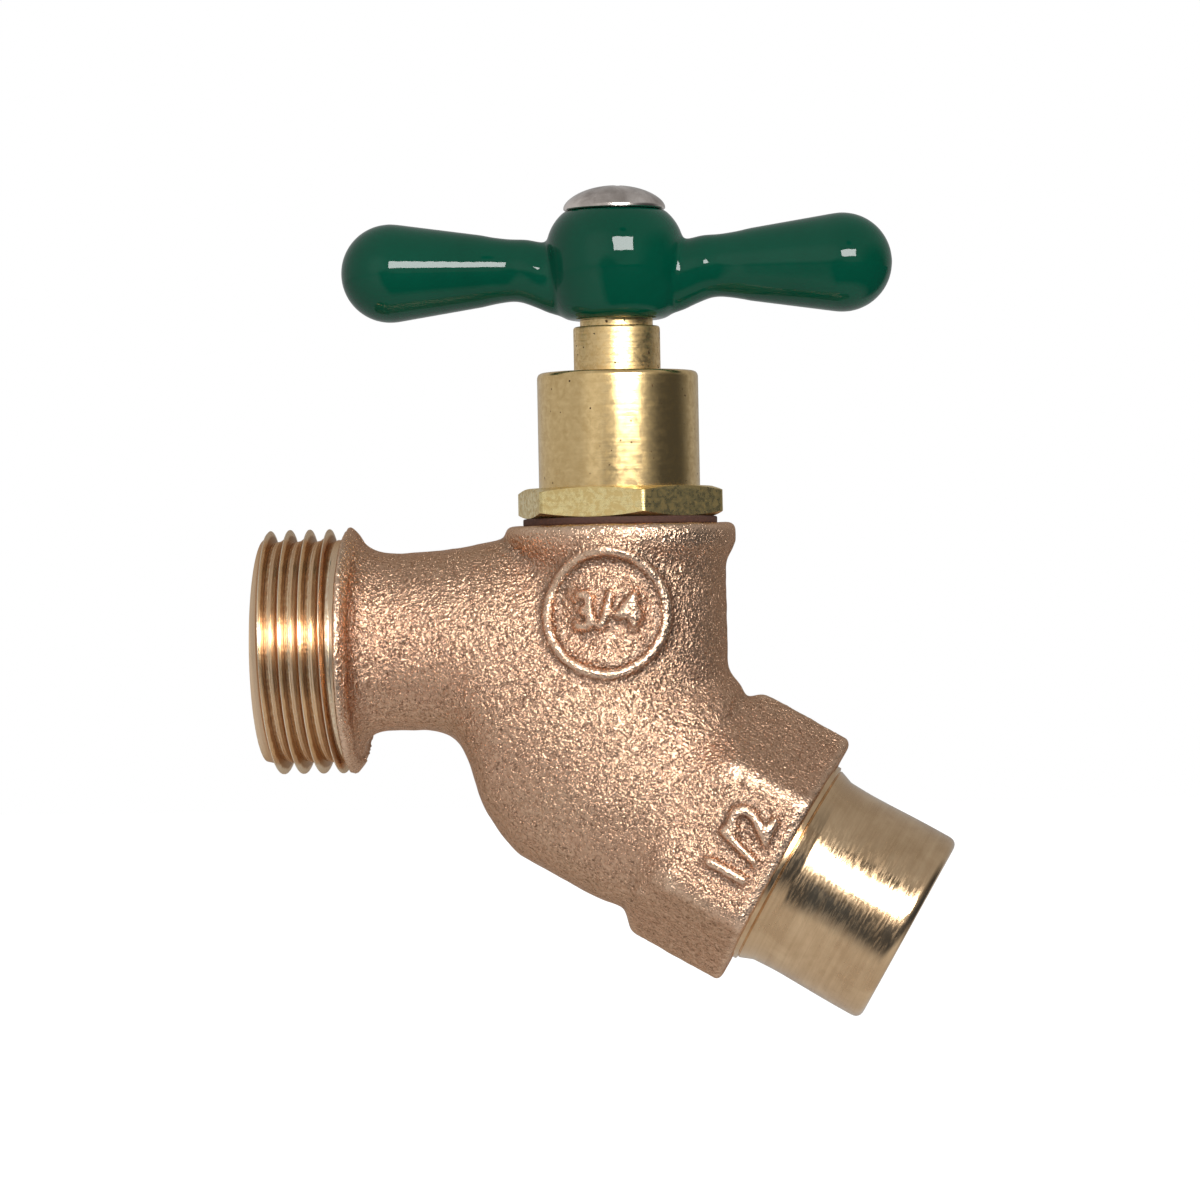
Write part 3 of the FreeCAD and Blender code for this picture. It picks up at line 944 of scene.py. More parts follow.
@dataclass(frozen=True)
class SealStuff(Finish):
    """Pressed seal stock: fibre, graphite packing or rubber, with a fine uneven grain."""

    name: str = "fibre"
    # Default colours, used by the gasket's fibre: its own dark red-brown, darkened further as painted shade
    # for its place under the nut.
    light: Colour = (0.13, 0.06, 0.042)
    dark: Colour = (0.06, 0.03, 0.022)
    grain: float = 0.0003
    depth: float = 0.00004
    rough: float = 0.75
    gloss: float = 0.3

    def material(self) -> bpy.types.Material:
        """Build the seal's skin.

        Returns:
            The material.
        """
        material, graph, shader = self.shader(Roughness=self.rough, Specular_IOR_Level=self.gloss)
        grain = effects.grain.use(graph, graph.place(), Grain=self.grain)
        normal = self.relief(graph, grain["Height"], self.depth)
        graph.feed(shader, Base_Color=graph.mix(grain["Tone"], self.dark, self.light), Normal=normal)
        return material


FINISHES: dict[str, Finish] = {
    "cast": CastBronze(),
    "hose_thread": ThreadCut(),
    "spigot": TurnedMetal(
        name="polished_bronze", axis=Axis.INLET, bright=(0.92, 0.66, 0.40), dull=(0.70, 0.47, 0.27),
        line=0.00025, contrast=1.6, depth=0.000005, shine=(0.09, 0.17), brushed=0.12,
    ),
    "guard": TurnedMetal(
        name="turned_brass", line=0.0005, cloud=0.0008, contrast=1.5, pit_share=0.3, depth=0.000008,
        shine=(0.15, 0.27),
    ),
    "hexagon": TurnedMetal(
        name="bar_brass", bright=(1.0, 0.82, 0.40), dull=(0.72, 0.54, 0.23), line=0.0006,
        cloud=0.0006, contrast=3.0, pit_share=0.35, shine=(0.26, 0.46), depth=0.00003,
    ),
    "stem": TurnedMetal(
        name="dull_brass", line=0.0003, cloud=0.0005, contrast=2.5, pit_share=0.7, shine=(0.28, 0.46),
        depth=0.00004,
    ),
    "enamel": GreenEnamel(),
    "nickel": NickelPlate(),
    "fibre": SealStuff(),
    "packing": SealStuff(
        name="graphite_packing", light=(0.10, 0.10, 0.10), dark=(0.03, 0.03, 0.03), rough=0.5,
    ),
    "rubber": SealStuff(name="black_rubber", light=(0.035, 0.034, 0.033), dark=(0.015, 0.015, 0.015)),
}


class Wardrobe:
    """Builds each finish once and hands it out."""

    def __init__(self) -> None:
        """Start with nothing built."""
        self.made: dict[str, bpy.types.Material] = {}

    def material(self, name: str) -> bpy.types.Material:
        """Give a finish's material by its name in FINISHES.

        Args:
            name: The finish's name.

        Returns:
            The material.
        """
        if name not in self.made:
            self.made[name] = FINISHES[name].material()
        return self.made[name]


wardrobe = Wardrobe()


def dressed(
    made: bpy.types.Object, finish: str, body: Body, slot: str, *nodes: str, crease: float = 32.0
) -> bpy.types.Object:
    """Finish a piece, hang it on its body and let it stand for its CAD nodes.

    Args:
        made: The piece.
        finish: The name of its finish; a piece that already has materials keeps them.
        body: The body it moves with.
        slot: The record's material slot; it is not used.
        nodes: The CAD nodes it stands for.
        crease: The angle, in degrees, past which an edge shows as sharp.

    Returns:
        The same piece.
    """
    data = made.data
    if not data.materials:
        data.materials.append(wardrobe.material(finish))
    data.polygons.foreach_set("use_smooth", [True] * len(data.polygons))
    data.set_sharp_from_angle(angle=math.radians(crease))
    data.update()
    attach(made, body.value)
    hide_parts(*nodes)
    log.info("%s: %d faces", made.name, len(data.polygons))
    return made


# Pieces


@dataclass
class RaisedMark:
    """A raised size mark that follows the casting's front, with an optional ring round it."""

    text: str
    centre: Point
    turn: float
    size: float
    clear: float
    stands: float = 1.0
    sinks: float = 1.0
    bolder: float = 0.13
    spacing: float = 1.06
    ring: float = 0.0
    ring_width: float = 0.9

    def middle(self) -> Vector:
        """Give the mark's middle in the tap's middle plane, in the frame's metres."""
        return datum.neck_face + Vector((self.centre[0] * MM, 0, self.centre[1] * MM))

    def letters(self) -> Mesh:
        """Make the text as a thick flat mesh.

        Returns:
            The closed letters in millimetres, as thick above the skin as below it.
        """
        curve = bpy.data.curves.new("mark", "FONT")
        curve.body = self.text
        curve.size = self.size
        curve.extrude = (self.stands + self.sinks) / 2
        curve.offset = self.bolder
        curve.space_character = self.spacing
        curve.align_x = "CENTER"
        curve.align_y = "CENTER"
        holder = bpy.data.objects.new("mark", curve)
        bpy.context.scene.collection.objects.link(holder)
        bpy.context.view_layer.update()
        depsgraph = bpy.context.evaluated_depsgraph_get()
        data = bpy.data.meshes.new_from_object(holder.evaluated_get(depsgraph))
        bpy.data.objects.remove(holder)
        bpy.data.curves.remove(curve)
        mesh = bmesh.new()
        mesh.from_mesh(data)
        bpy.data.meshes.remove(data)
        bmesh.ops.remove_doubles(mesh, verts=mesh.verts, dist=1e-4)
        return mesh

    def flat(self) -> Mesh:
        """Make the mark flat.

        Returns:
            The letters and their ring in millimetres, with Z as the height over the skin.
        """
        mesh = self.letters()
        if self.ring:
            half = (self.stands + self.sinks) / 2
            inner, outer = self.ring - self.ring_width, self.ring
            section = [(inner, -half), (outer, -half), (outer, half), (inner, half)]
            added(mesh, turned(section, ring=True, steps=72))
        bmesh.ops.translate(mesh, verts=mesh.verts, vec=(0, 0, (self.stands - self.sinks) / 2))
        return mesh

    def laid_on(self, skin: BVHTree) -> Mesh:
        """Lay the mark on a skin, seen from the front.

        Args:
            skin: The casting's skin, in the frame's metres.

        Returns:
            The mark in the frame's metres.
        """
        before_tap = 0.1
        mesh = self.flat()
        middle = self.middle()
        turn = Matrix.Rotation(math.radians(self.turn), 2)
        for vert in mesh.verts:
            across = turn @ Vector((vert.co.x, vert.co.y)) * MM
            start = Vector((middle.x + across.x, middle.y - before_tap, middle.z + across.y))
            hit = skin.ray_cast(start, Vector((0, 1, 0)))[0]
            vert.co = Vector((start.x, hit.y - vert.co.z * MM, start.z))
        return mesh


@dataclass
class Casting:
    """The cast body: horn, barrel, neck and hexagon, with raised size marks and a faint mould line."""

    voxel: float = 0.38
    rounds: int = 2
    plain_rounds: int = 3
    front: float = 11.5
    blend_rounds: int = 60
    blend_span: Point = (-31.0, -25.0)
    blend_side: float = 9.5
    collar_depth: float = 9.1
    boss_depth: float = 15.45
    cut_gap: float = 0.05
    fin_r: float = 13.75
    fin_foot_r: float = 12.4
    fin_edge: float = 0.1
    fin_crest: float = 0.4
    fin_width: float = 1.6
    fin_gap: float = 0.06
    swell: float = 0.06
    swell_size: float = 2.8
    finer: float = 2.3
    finer_share: float = 0.6
    seam: float = 0.12
    seam_width: float = 0.5
    nook_rounds: int = 12
    nook_depth: float = 0.12
    neck_mark: RaisedMark = field(default_factory=lambda: RaisedMark(
        "3/4", centre=(-0.6, -9.6), turn=0.0, size=5.8, clear=7.4, ring=7.0,
    ))
    flat_mark: RaisedMark = field(default_factory=lambda: RaisedMark(
        "1/2", centre=(13.6, -35.0), turn=60.0, size=7.0, clear=6.2,
    ))

    def fin(self) -> Mesh:
        """Turn the thin fin that the mould leaves round the collar.

        Returns:
            A closed ring in the frame's metres.
        """
        ring = turned([
            (self.fin_foot_r, 0.0),
            (self.fin_r - self.fin_edge, -self.fin_edge),
            (self.fin_r, -self.fin_crest),
            (self.fin_foot_r, -self.fin_width),
        ], ring=True, steps=96)
        lowered = Matrix.Translation((0, 0, -self.collar_depth - self.fin_gap))
        ring.transform(datum.seat(Axis.OUTLET) @ lowered)
        return ring

    def blank(self) -> Mesh:
        """Copy the CAD body, cut off its hose thread and its spigot, and add the fin.

        Returns:
            The closed shells in the frame's metres.
        """
        mesh = node_copy("body")
        collar = datum.seat(Axis.OUTLET) @ Vector((0, 0, -self.collar_depth - self.cut_gap))
        boss = datum.seat(Axis.INLET) @ Vector((0, 0, -self.boss_depth - self.cut_gap))
        trimmed(mesh, collar, Vector((-1, 0, 0)))
        trimmed(mesh, boss, datum.inlet_run)
        return added(mesh, self.fin())

    def off_marks(self, spot: Vector) -> bool:
        """Tell whether a point lies clear of both marks.

        Args:
            spot: The point, in the frame's metres.

        Returns:
            True if it does.
        """
        forward = Vector((0, -self.front * MM, 0))
        return all(
            (mark.middle() + forward - spot).length > mark.clear * MM
            for mark in (self.neck_mark, self.flat_mark)
        )

    def on_blend(self, local: Vector) -> bool:
        """Tell whether a point lies where the barrel's sides run into the hexagon.

        Args:
            local: The point, in millimetres about the inlet's axis.

        Returns:
            True if it does.
        """
        low, high = self.blend_span
        return low < local.z < high and abs(local.y) > self.blend_side

    def undulate(self, made: bpy.types.Object) -> None:
        """Give the skin the slow unevenness of a sand mould, and the line where its halves met.

        Args:
            made: The casting.
        """
        data = made.data
        swell_size = self.swell_size * MM
        normals = [vert.normal.copy() for vert in data.vertices]
        for vert, normal in zip(data.vertices, normals):
            place = vert.co / swell_size
            push = noise.noise(place) + self.finer_share * noise.noise(place * self.finer)
            seam = self.seam * MM * math.exp(-((vert.co.y / (self.seam_width * MM)) ** 2))
            vert.co += normal * (self.swell * MM * push + seam)

    def mark_nooks(self, made: bpy.types.Object) -> None:
        """Store how far each point stands out of the skin round it, for the finish to read.

        Args:
            made: The casting; it gets the attribute STANDS_OUT, from 1 on edges to -1 in nooks.
        """
        mesh = opened(made)
        places = [(vert.co.copy(), vert.normal.copy()) for vert in mesh.verts]
        smoothed(mesh, mesh.verts[:], self.nook_rounds)
        depth = self.nook_depth * MM
        stands = [
            max(-1.0, min(1.0, (place - vert.co).dot(normal) / depth))
            for vert, (place, normal) in zip(mesh.verts, places)
        ]
        mesh.free()
        made.data.attributes.new(STANDS_OUT, "FLOAT", "POINT").data.foreach_set("value", stands)

    def build(self) -> bpy.types.Object:
        """Build the casting and dress it.

        Returns:
            The piece.
        """
        mesh = self.blank()
        skin = BVHTree.FromBMesh(mesh)
        for mark in (self.neck_mark, self.flat_mark):
            added(mesh, mark.laid_on(skin))
        made = as_object(mesh, "body_casting")
        remeshed(made, self.voxel)
        to_inlet = datum.seat(Axis.INLET).inverted()
        relaxed(made, self.blend_rounds, lambda spot: self.on_blend(to_inlet @ spot))
        relaxed(made, self.rounds)
        relaxed(made, self.plain_rounds, self.off_marks)
        self.mark_nooks(made)
        self.undulate(made)
        return dressed(made, "cast", Body.VALVE, "cast_bronze", "body", crease=180.0)


@dataclass
class HoseThread:
    """The outlet's coarse hose thread, cut as a true helix on a bored sleeve.

    The ridge's runs are shares of the pitch, counted from its crest.
    """

    crest_r: float = 13.495
    crest_flat: float = 0.1
    crest_edge: float = 0.03
    depth: float = 1.42
    root_step: float = 0.02
    root_edge: float = 0.1
    pitch: float = 2.2087
    steep_run: float = 0.22
    knee_height: float = 0.62
    knee_run: float = 0.16
    knee_edge: float = 0.8
    trough_height: float = 0.2
    trough_run: float = 0.42
    trough_edge: float = 0.5
    first_crest: float = -0.64
    length: float = 8.5
    past_ends: float = 0.8
    spare_turns: int = 5
    chamfer: float = 0.8
    chamfer_edge: float = 0.15
    relief_r: float = 12.3
    relief: float = 0.6
    mouth_r: float = 9.5
    mouth_bevel: float = 0.4
    mouth_depth: float = 7.0
    taper_length: float = 8.5
    passage_r: float = 5.6
    steps: int = 96

    def bore_r(self, height: float) -> float:
        """Give the waterway's radius at a height inside the mouth."""
        share = max(0.0, -height - self.mouth_depth) / self.taper_length
        return self.mouth_r + (self.passage_r - self.mouth_r) * share

    def ridge(self) -> list[Point]:
        """Give one pitch of the thread as (radius, height) points, with its crest at height 0.

        Returns:
            The points from the root below the crest to the next root, the steeper flank first.
        """
        root = self.crest_r - self.depth
        low = -self.steep_run * self.pitch
        half = self.crest_flat / 2
        return softened([
            (root + self.root_step, low),
            (root, low + half, self.root_edge),
            (self.crest_r, -half, self.crest_edge),
            (self.crest_r, half, self.crest_edge),
            (root + self.knee_height, self.knee_run * self.pitch, self.knee_edge),
            (root + self.trough_height, self.trough_run * self.pitch, self.trough_edge),
            (root + self.root_step, low + self.pitch),
        ], steps=3)

    def screw(self) -> Mesh:
        """Wind the ridge into a screw.

        Returns:
            The closed screw in millimetres, longer than the thread at both ends.
        """
        turns = math.ceil(self.length / self.pitch) + self.spare_turns
        mesh = bmesh.new()
        verts = [mesh.verts.new((radius, 0, height)) for radius, height in self.ridge()]
        edges = [mesh.edges.new(pair) for pair in zip(verts, verts[1:])]
        step_rise = Vector((0, 0, self.pitch / self.steps))
        bmesh.ops.spin(
            mesh, geom=verts + edges, cent=(0, 0, 0), axis=(0, 0, 1), dvec=step_rise,
            angle=math.tau * turns, steps=self.steps * turns, use_duplicate=False,
        )
        bmesh.ops.remove_doubles(mesh, verts=mesh.verts, dist=1e-4)
        lift = self.first_crest - (turns - 2) * self.pitch
        bmesh.ops.translate(mesh, verts=mesh.verts, vec=(0, 0, lift))
        for height, side in ((self.past_ends, 1), (-self.length - self.past_ends, -1)):
            trimmed(mesh, Vector((0, 0, height)), Vector((0, 0, side)))
        bmesh.ops.recalc_face_normals(mesh, faces=mesh.faces)
        return mesh

    def envelope(self) -> Mesh:
        """Turn the ring that the thread is cut from.

        Returns:
            The closed ring in millimetres, with its chamfer and its bore.
        """
        return turned(softened([
            (self.mouth_r + self.mouth_bevel, 0.0),
            (self.crest_r - self.chamfer, 0.0, self.chamfer_edge),
            (self.crest_r, -self.chamfer),
            (self.crest_r, -self.length),
            (self.bore_r(-self.length), -self.length),
            (self.mouth_r, -self.mouth_depth),
            (self.mouth_r, -self.mouth_bevel),
        ], ring=True), ring=True, steps=self.steps * 2)

    def root_sleeve(self) -> Mesh:
        """Turn the plain sleeve behind the thread.

        Returns:
            The closed sleeve in millimetres, which runs into the casting's collar.
        """
        lap, reach, inset, bore_inset = 0.3, 0.25, 0.02, 0.01
        foot = -self.length - self.relief - lap
        top = -self.length + reach
        outer = self.relief_r - inset
        return turned([
            (self.bore_r(foot) + bore_inset, foot), (outer, foot), (outer, top),
            (self.bore_r(top) + bore_inset, top),
        ], ring=True)

    def build(self) -> bpy.types.Object:
        """Build the thread and dress it.

        Returns:
            The piece.
        """
        made = as_object(self.screw(), "body_hose_thread")
        combined(made, self.envelope(), Cut.INTERSECT)
        mesh = added(opened(made), self.root_sleeve())
        mesh.transform(datum.seat(Axis.OUTLET))
        closed(mesh, made)
        return dressed(made, "hose_thread", Body.VALVE, "cast_bronze", "body", crease=24.0)


@dataclass
class Spigot:
    """The turned solder spigot with its root ring, slight waist and cup."""

    length: float = 15.45
    overlap: float = 0.3
    outer_r: float = 11.11
    waist_r: float = 10.93
    sweep_r: float = 300.0
    straight: float = 4.0
    root_r: float = 11.9
    root_ring: float = 0.45
    groove_depth: float = 0.4
    groove_rise: float = 0.12
    groove_width: float = 0.25
    flare_length: float = 2.9
    flare_lead: float = 0.7
    flare_r: float = 1.2
    waist_lag: float = 2.0
    mouth_edge: float = 1.1
    cup_r: float = 7.975
    cup_depth: float = 12.7
    cup_bevel: float = 0.35
    stop_r: float = 6.9
    edge: float = 0.1

    def outline(self) -> list[Point]:
        """Draw the spigot's section.

        Returns:
            The closed outline as (radius, height) points.
        """
        foot = -self.length - self.overlap
        ring_end = -self.length + self.root_ring
        flare_end = -self.length + self.flare_length
        groove_r = self.root_r - self.groove_depth
        return softened([
            (self.stop_r, foot),
            (self.root_r, foot),
            (self.root_r, ring_end, self.edge),
            (groove_r, ring_end + self.groove_rise, self.edge / 2),
            (groove_r + self.groove_rise, ring_end + self.groove_width, self.edge / 2),
            (self.waist_r + self.groove_rise, flare_end - self.flare_lead, self.flare_r),
            (self.waist_r, flare_end + self.waist_lag, self.sweep_r),
            (self.outer_r, -self.straight, self.sweep_r),
            (self.outer_r, 0.0, self.mouth_edge),
            (self.cup_r + self.cup_bevel, 0.0, self.edge),
            (self.cup_r, -self.cup_bevel, self.edge),
            (self.cup_r, -self.cup_depth),
            (self.stop_r, -self.cup_depth, self.edge),
        ], ring=True, steps=6)

    def build(self) -> bpy.types.Object:
        """Build the spigot and dress it.

        Returns:
            The piece.
        """
        mesh = turned(self.outline(), ring=True, steps=200)
        mesh.transform(datum.seat(Axis.INLET))
        made = as_object(mesh, "body_spigot")
        return dressed(made, "spigot", Body.VALVE, "cast_bronze", "body")


@dataclass
class PackingNut:
    """The packing nut: a chamfered hexagon, a tall stem guard and the threaded shank below."""

    seat: float = 0.8
    height: float = 3.3
    across_flats: float = 20.5
    turn: float = -11.9
    corner_edge: float = 0.35
    chamfer: float = 0.55
    chamfer_edge: float = 0.3
    face_inset: float = 0.1
    guard_r: float = 8.85
    guard_height: float = 12.7
    guard_edge: float = 0.7
    stem_hole_r: float = 4.8425
    hole_edge: float = 0.25
    top_wall: float = 2.5
    chamber_r: float = 6.3
    chamber_foot: float = 6.7
    shank_r: float = 9.475
    shank_length: float = 7.1
    shank_chamfer: float = 0.55
    shank_bore_r: float = 7.2
    undercut: float = 0.5
    guard_lap: float = 0.4
    lap_run: float = 0.2
    core_gap: float = 0.1

    def prism(self) -> Mesh:
        """Make the hexagon's plain prism.

        Returns:
            The closed prism in millimetres, with rounded upright edges.
        """
        mesh = bmesh.new()
        corner_r = self.across_flats / math.sqrt(3)
        rim = bmesh.ops.create_circle(mesh, cap_ends=True, radius=corner_r, segments=6)
        corner = rim["verts"][0].co
        first = math.atan2(corner.y, corner.x)
        turn = Matrix.Rotation(math.radians(self.turn) - first, 3, "Z")
        bmesh.ops.rotate(mesh, cent=(0, 0, 0), matrix=turn, verts=mesh.verts)
        raised = bmesh.ops.extrude_face_region(mesh, geom=mesh.faces[:])["geom"]
        top = [part for part in raised if isinstance(part, bmesh.types.BMVert)]
        bmesh.ops.translate(mesh, verts=top, vec=(0, 0, self.height))
        bmesh.ops.translate(mesh, verts=mesh.verts, vec=(0, 0, self.seat))
        upright = [edge for edge in mesh.edges if abs(edge.verts[0].co.z - edge.verts[1].co.z) > 1]
        bmesh.ops.bevel(
            mesh, geom=upright, offset=self.corner_edge, affect="EDGES", segments=4, profile=0.5,
            material=-1, offset_type="OFFSET",
        )
        bmesh.ops.recalc_face_normals(mesh, faces=mesh.faces)
        return mesh

    def hexagon(self) -> bpy.types.Object:
        """Make the hexagon with arc chamfers on both faces and a hole for the guard.

        Returns:
            The hexagon as an object, in millimetres.
        """
        made = as_object(self.prism(), "packing_nut_dressed")
        face_r = self.across_flats / 2 - self.face_inset
        corner_r = self.across_flats / math.sqrt(3) + 0.05
        top = self.seat + self.height
        limit = turned(softened([
            (0, self.seat),
            (face_r, self.seat, self.face_inset),
            (corner_r, self.seat + self.chamfer, self.chamfer_edge),
            (corner_r, top - self.chamfer, self.chamfer_edge),
            (face_r, top, self.face_inset),
            (0, top),
        ], steps=5), steps=240)
        combined(made, limit, Cut.INTERSECT)
        bore = self.shank_r - self.undercut - self.core_gap
        combined(made, turned([(0, -1), (bore, -1), (bore, top + 1), (0, top + 1)]), Cut.DIFFERENCE)
        return made

    def barrel(self) -> Mesh:
        """Turn the guard, the shank and the hollow as one ring.

        Returns:
            The closed ring in millimetres.
        """
        flange_top = self.seat + self.height
        top = flange_top + self.guard_height
        foot = self.seat - self.shank_length
        core_r = self.shank_r - self.undercut
        return turned(softened([
            (self.stem_hole_r, top, self.hole_edge),
            (self.guard_r, top, self.guard_edge),
            (self.guard_r, flange_top - self.guard_lap),
            (core_r, flange_top - self.guard_lap - self.lap_run),
            (core_r, self.seat - self.undercut),
            (self.shank_r, self.seat - 2 * self.undercut),
            (self.shank_r, foot + self.shank_chamfer),
            (self.shank_r - self.shank_chamfer, foot),
            (self.shank_bore_r, foot),
            (self.shank_bore_r, self.chamber_foot),
            (self.chamber_r, self.chamber_foot),
            (self.chamber_r, top - self.top_wall),
            (self.stem_hole_r, top - self.top_wall),
        ], ring=True, steps=6), ring=True, steps=200)

    def build(self) -> bpy.types.Object:
        """Build the nut and dress it.

        Returns:
            The piece.
        """
        made = self.hexagon()
        made.data.materials.clear()
        for finish in ("hexagon", "guard"):
            made.data.materials.append(wardrobe.material(finish))
        mesh = opened(made)
        flange = set(mesh.faces)
        added(mesh, self.barrel())
        for face in mesh.faces:
            face.material_index = 0 if face in flange else 1
        mesh.transform(datum.seat(Axis.STEM))
        closed(mesh, made)
        return dressed(made, "guard", Body.VALVE, "turned_brass", "packing_nut", crease=28.0)


@dataclass
class Gasket:
    """The thin fibre ring under the nut."""

    inner_r: float = 9.625
    outer_r: float = 10.66
    thickness: float = 0.8
    edge: float = 0.2

    def build(self) -> bpy.types.Object:
        """Build the ring and dress it.

        Returns:
            The piece.
        """
        mesh = turned(softened([
            (self.inner_r, 0.0),
            (self.outer_r, 0.0, self.edge),
            (self.outer_r, self.thickness, self.edge),
            (self.inner_r, self.thickness),
        ], ring=True), ring=True)
        mesh.transform(datum.seat(Axis.STEM))
        made = as_object(mesh, "bonnet_gasket_dressed")
        # The fibre finish is darkened as painted shade under the nut.
        return dressed(made, "fibre", Body.VALVE, "fibre", "bonnet_gasket")


@dataclass
class Stem:
    """The stem: washer cup, thread, shank and square, drilled at both ends."""

    shank_r: float = 4.7625
    shoulder: float = 21.8
    shoulder_edge: float = 0.35
    hub_foot: float = 22.5
    square_top: float = 33.6
    square_across: float = 5.2
    square_lap: float = 0.5
    neck_r: float = 4.0
    thread_r: float = 7.1
    thread_foot: float = -8.8
    thread_top: float = -0.3
    thread_edge: float = 0.5
    core_r: float = 4.2
    cup_r: float = 7.0
    cup_inner_r: float = 6.05
    cup_top: float = -12.3
    cup_foot: float = -16.7
    cup_edge: float = 0.1
    washer_top: float = -14.9
    screw_hole_r: float = 2.0
    screw_hole_foot: float = 24.6
    washer_hole_r: float = 1.95
    washer_hole_top: float = -7.3

    def bar(self) -> Mesh:
        """Turn the stem's round parts.

        Returns:
            The closed bar in millimetres.
        """
        return turned(softened([
            (0, self.washer_top),
            (self.cup_inner_r, self.washer_top),
            (self.cup_inner_r, self.cup_foot),
            (self.cup_r, self.cup_foot, self.cup_edge),
            (self.cup_r, self.cup_top, self.thread_edge),
            (self.core_r, self.cup_top),
            (self.core_r, self.thread_foot),
            (self.thread_r, self.thread_foot, self.thread_edge),
            (self.thread_r, self.thread_top, self.thread_edge),
            (self.shank_r, self.thread_top),
            (self.shank_r, self.shoulder, self.shoulder_edge),
            (self.neck_r, self.shoulder),
            (self.neck_r, self.hub_foot),
            (0, self.hub_foot),
        ]))

    def build(self) -> bpy.types.Object:
        """Build the stem and dress it.

        Returns:
            The piece.
        """
        made = as_object(self.bar(), "stem_dressed")
        height = self.square_top - self.hub_foot + self.square_lap
        square = block((self.square_across, self.square_across, height), self.square_top - height / 2)
        combined(made, square, Cut.UNION)
        for radius, low, high in (
            (self.screw_hole_r, self.screw_hole_foot, self.square_top + 1),
            (self.washer_hole_r, self.washer_top - 1, self.washer_hole_top),
        ):
            drill = turned([(0, low), (radius, low), (radius, high), (0, high)], steps=48)
            combined(made, drill, Cut.DIFFERENCE)
        made.data.transform(datum.seat(Axis.STEM))
        return dressed(made, "stem", Body.SPINDLE, "turned_brass", "stem")


@dataclass
class Handle:
    """The tee handle, softened as thick enamel leaves it."""

    voxel: float = 0.2
    rounds: int = 16
    root_rounds: int = 90
    root_span: Point = (7.9, 14.5)

    def on_roots(self, spot: Vector) -> bool:
        """Tell whether a point lies where an arm runs into the hub."""
        near, far = self.root_span
        return near * MM < math.hypot(spot.x - datum.neck_face.x, spot.y) < far * MM

    def build(self) -> bpy.types.Object:
        """Build the handle and dress it.

        Returns:
            The piece.
        """
        made = as_object(node_copy("handle"), "handle_dressed")
        remeshed(made, self.voxel)
        relaxed(made, self.root_rounds, self.on_roots)
        relaxed(made, self.rounds)
        return dressed(made, "enamel", Body.SPINDLE, "green_enamel", "handle", crease=180.0)


@dataclass
class HandleScrew:
    """The domed screw on the handle, with a cross recess."""

    head_r: float = 5.6
    rim: float = 0.3
    rim_edge: float = 0.12
    height: float = 2.7
    bulge: float = 1.24
    dome_steps: int = 28
    foot: float = 34.6
    shank_r: float = 1.95
    shank_length: float = 9.0
    shank_chamfer: float = 0.3
    recess_width: float = 1.1
    recess_reach: float = 2.6
    recess_depth: float = 1.5
    recess_turn: float = 0.5
    recess_taper: Corner = (0.45, 0.7, 1.0)

    def outline(self) -> list[Point]:
        """Draw the screw from its tip over its rim to the dome's pole.

        Returns:
            The outline as (radius, height) points.
        """
        tip = self.foot - self.shank_length
        rise = self.height - self.rim
        rim_top = self.foot + self.rim
        angles = [math.pi / 2 * (1 - step / self.dome_steps) for step in range(self.dome_steps)]
        dome = [
            (self.head_r * math.sin(angle), rim_top + rise * max(0.0, math.cos(angle)) ** self.bulge)
            for angle in angles
        ]
        return [
            (0, tip), (self.shank_r - self.shank_chamfer, tip), (self.shank_r, tip + self.shank_chamfer),
            (self.shank_r, self.foot), (self.head_r - self.rim_edge, self.foot),
            (self.head_r, self.foot + self.rim_edge), *dome, (0, self.foot + self.height),
        ]

    def blade(self, turn: float) -> Mesh:
        """Make one arm of the cross recess.

        Args:
            turn: Its turn about the screw's axis, in radians.

        Returns:
            The closed blade in millimetres, narrower at its foot.
        """
        top = self.foot + self.height
        blade = block((2 * self.recess_reach, self.recess_width, 2 * self.recess_depth), top)
        low = [vert for vert in blade.verts if vert.co.z < top]
        bmesh.ops.scale(blade, vec=self.recess_taper, verts=low)
        bmesh.ops.rotate(blade, cent=(0, 0, 0), matrix=Matrix.Rotation(turn, 3, "Z"), verts=blade.verts)
        return blade

    def build(self) -> bpy.types.Object:
        """Build the screw and dress it.

        Returns:
            The piece.
        """
        made = as_object(turned(self.outline(), steps=128), "handle_screw_dressed")
        for turn in (self.recess_turn, self.recess_turn + math.pi / 2):
            combined(made, self.blade(turn), Cut.DIFFERENCE)
        made.data.transform(datum.seat(Axis.STEM))
        return dressed(made, "nickel", Body.SPINDLE, "nickel_plate", "handle_screw")


@dataclass
class HiddenSeals:
    """The CAD nodes inside the tap, which keep their meshes."""

    finishes: dict[str, str] = field(default_factory=lambda: {
        "packing_washer": "guard",
        "packing_ring_upper": "packing",
        "packing_ring_lower": "packing",
        "gland_ring": "guard",
        "seat_washer": "rubber",
        "bibb_screw": "guard",
    })

    def build(self) -> None:
        """Give each hidden node its finish."""
        for node, finish in self.finishes.items():
            data = frame["nodes"][node].data
            data.materials.clear()
            data.materials.append(wardrobe.material(finish))
            log.info("%s: CAD mesh, %s", node, finish)


# Studio


@dataclass(frozen=True)
class SkyCard:
    """A card in the sky that gloss sees: full within one angle of its middle, gone past another."""

    towards: Corner
    full: float
    gone: float
    level: float

    def laid_in(self, graph: Graph, way: Socket) -> Socket:
        """Give the factor by which the card changes the sky.

        Args:
            graph: The world's graph.
            way: The direction that is looked at.

        Returns:
            The card's level in its middle, and 1 away from it.
        """
        facing = graph.facing(way, Vector(self.towards).normalized())
        outer, inner = (math.cos(math.radians(angle)) for angle in (self.gone, self.full))
        return graph.span(facing, outer, inner, 1.0, self.level)


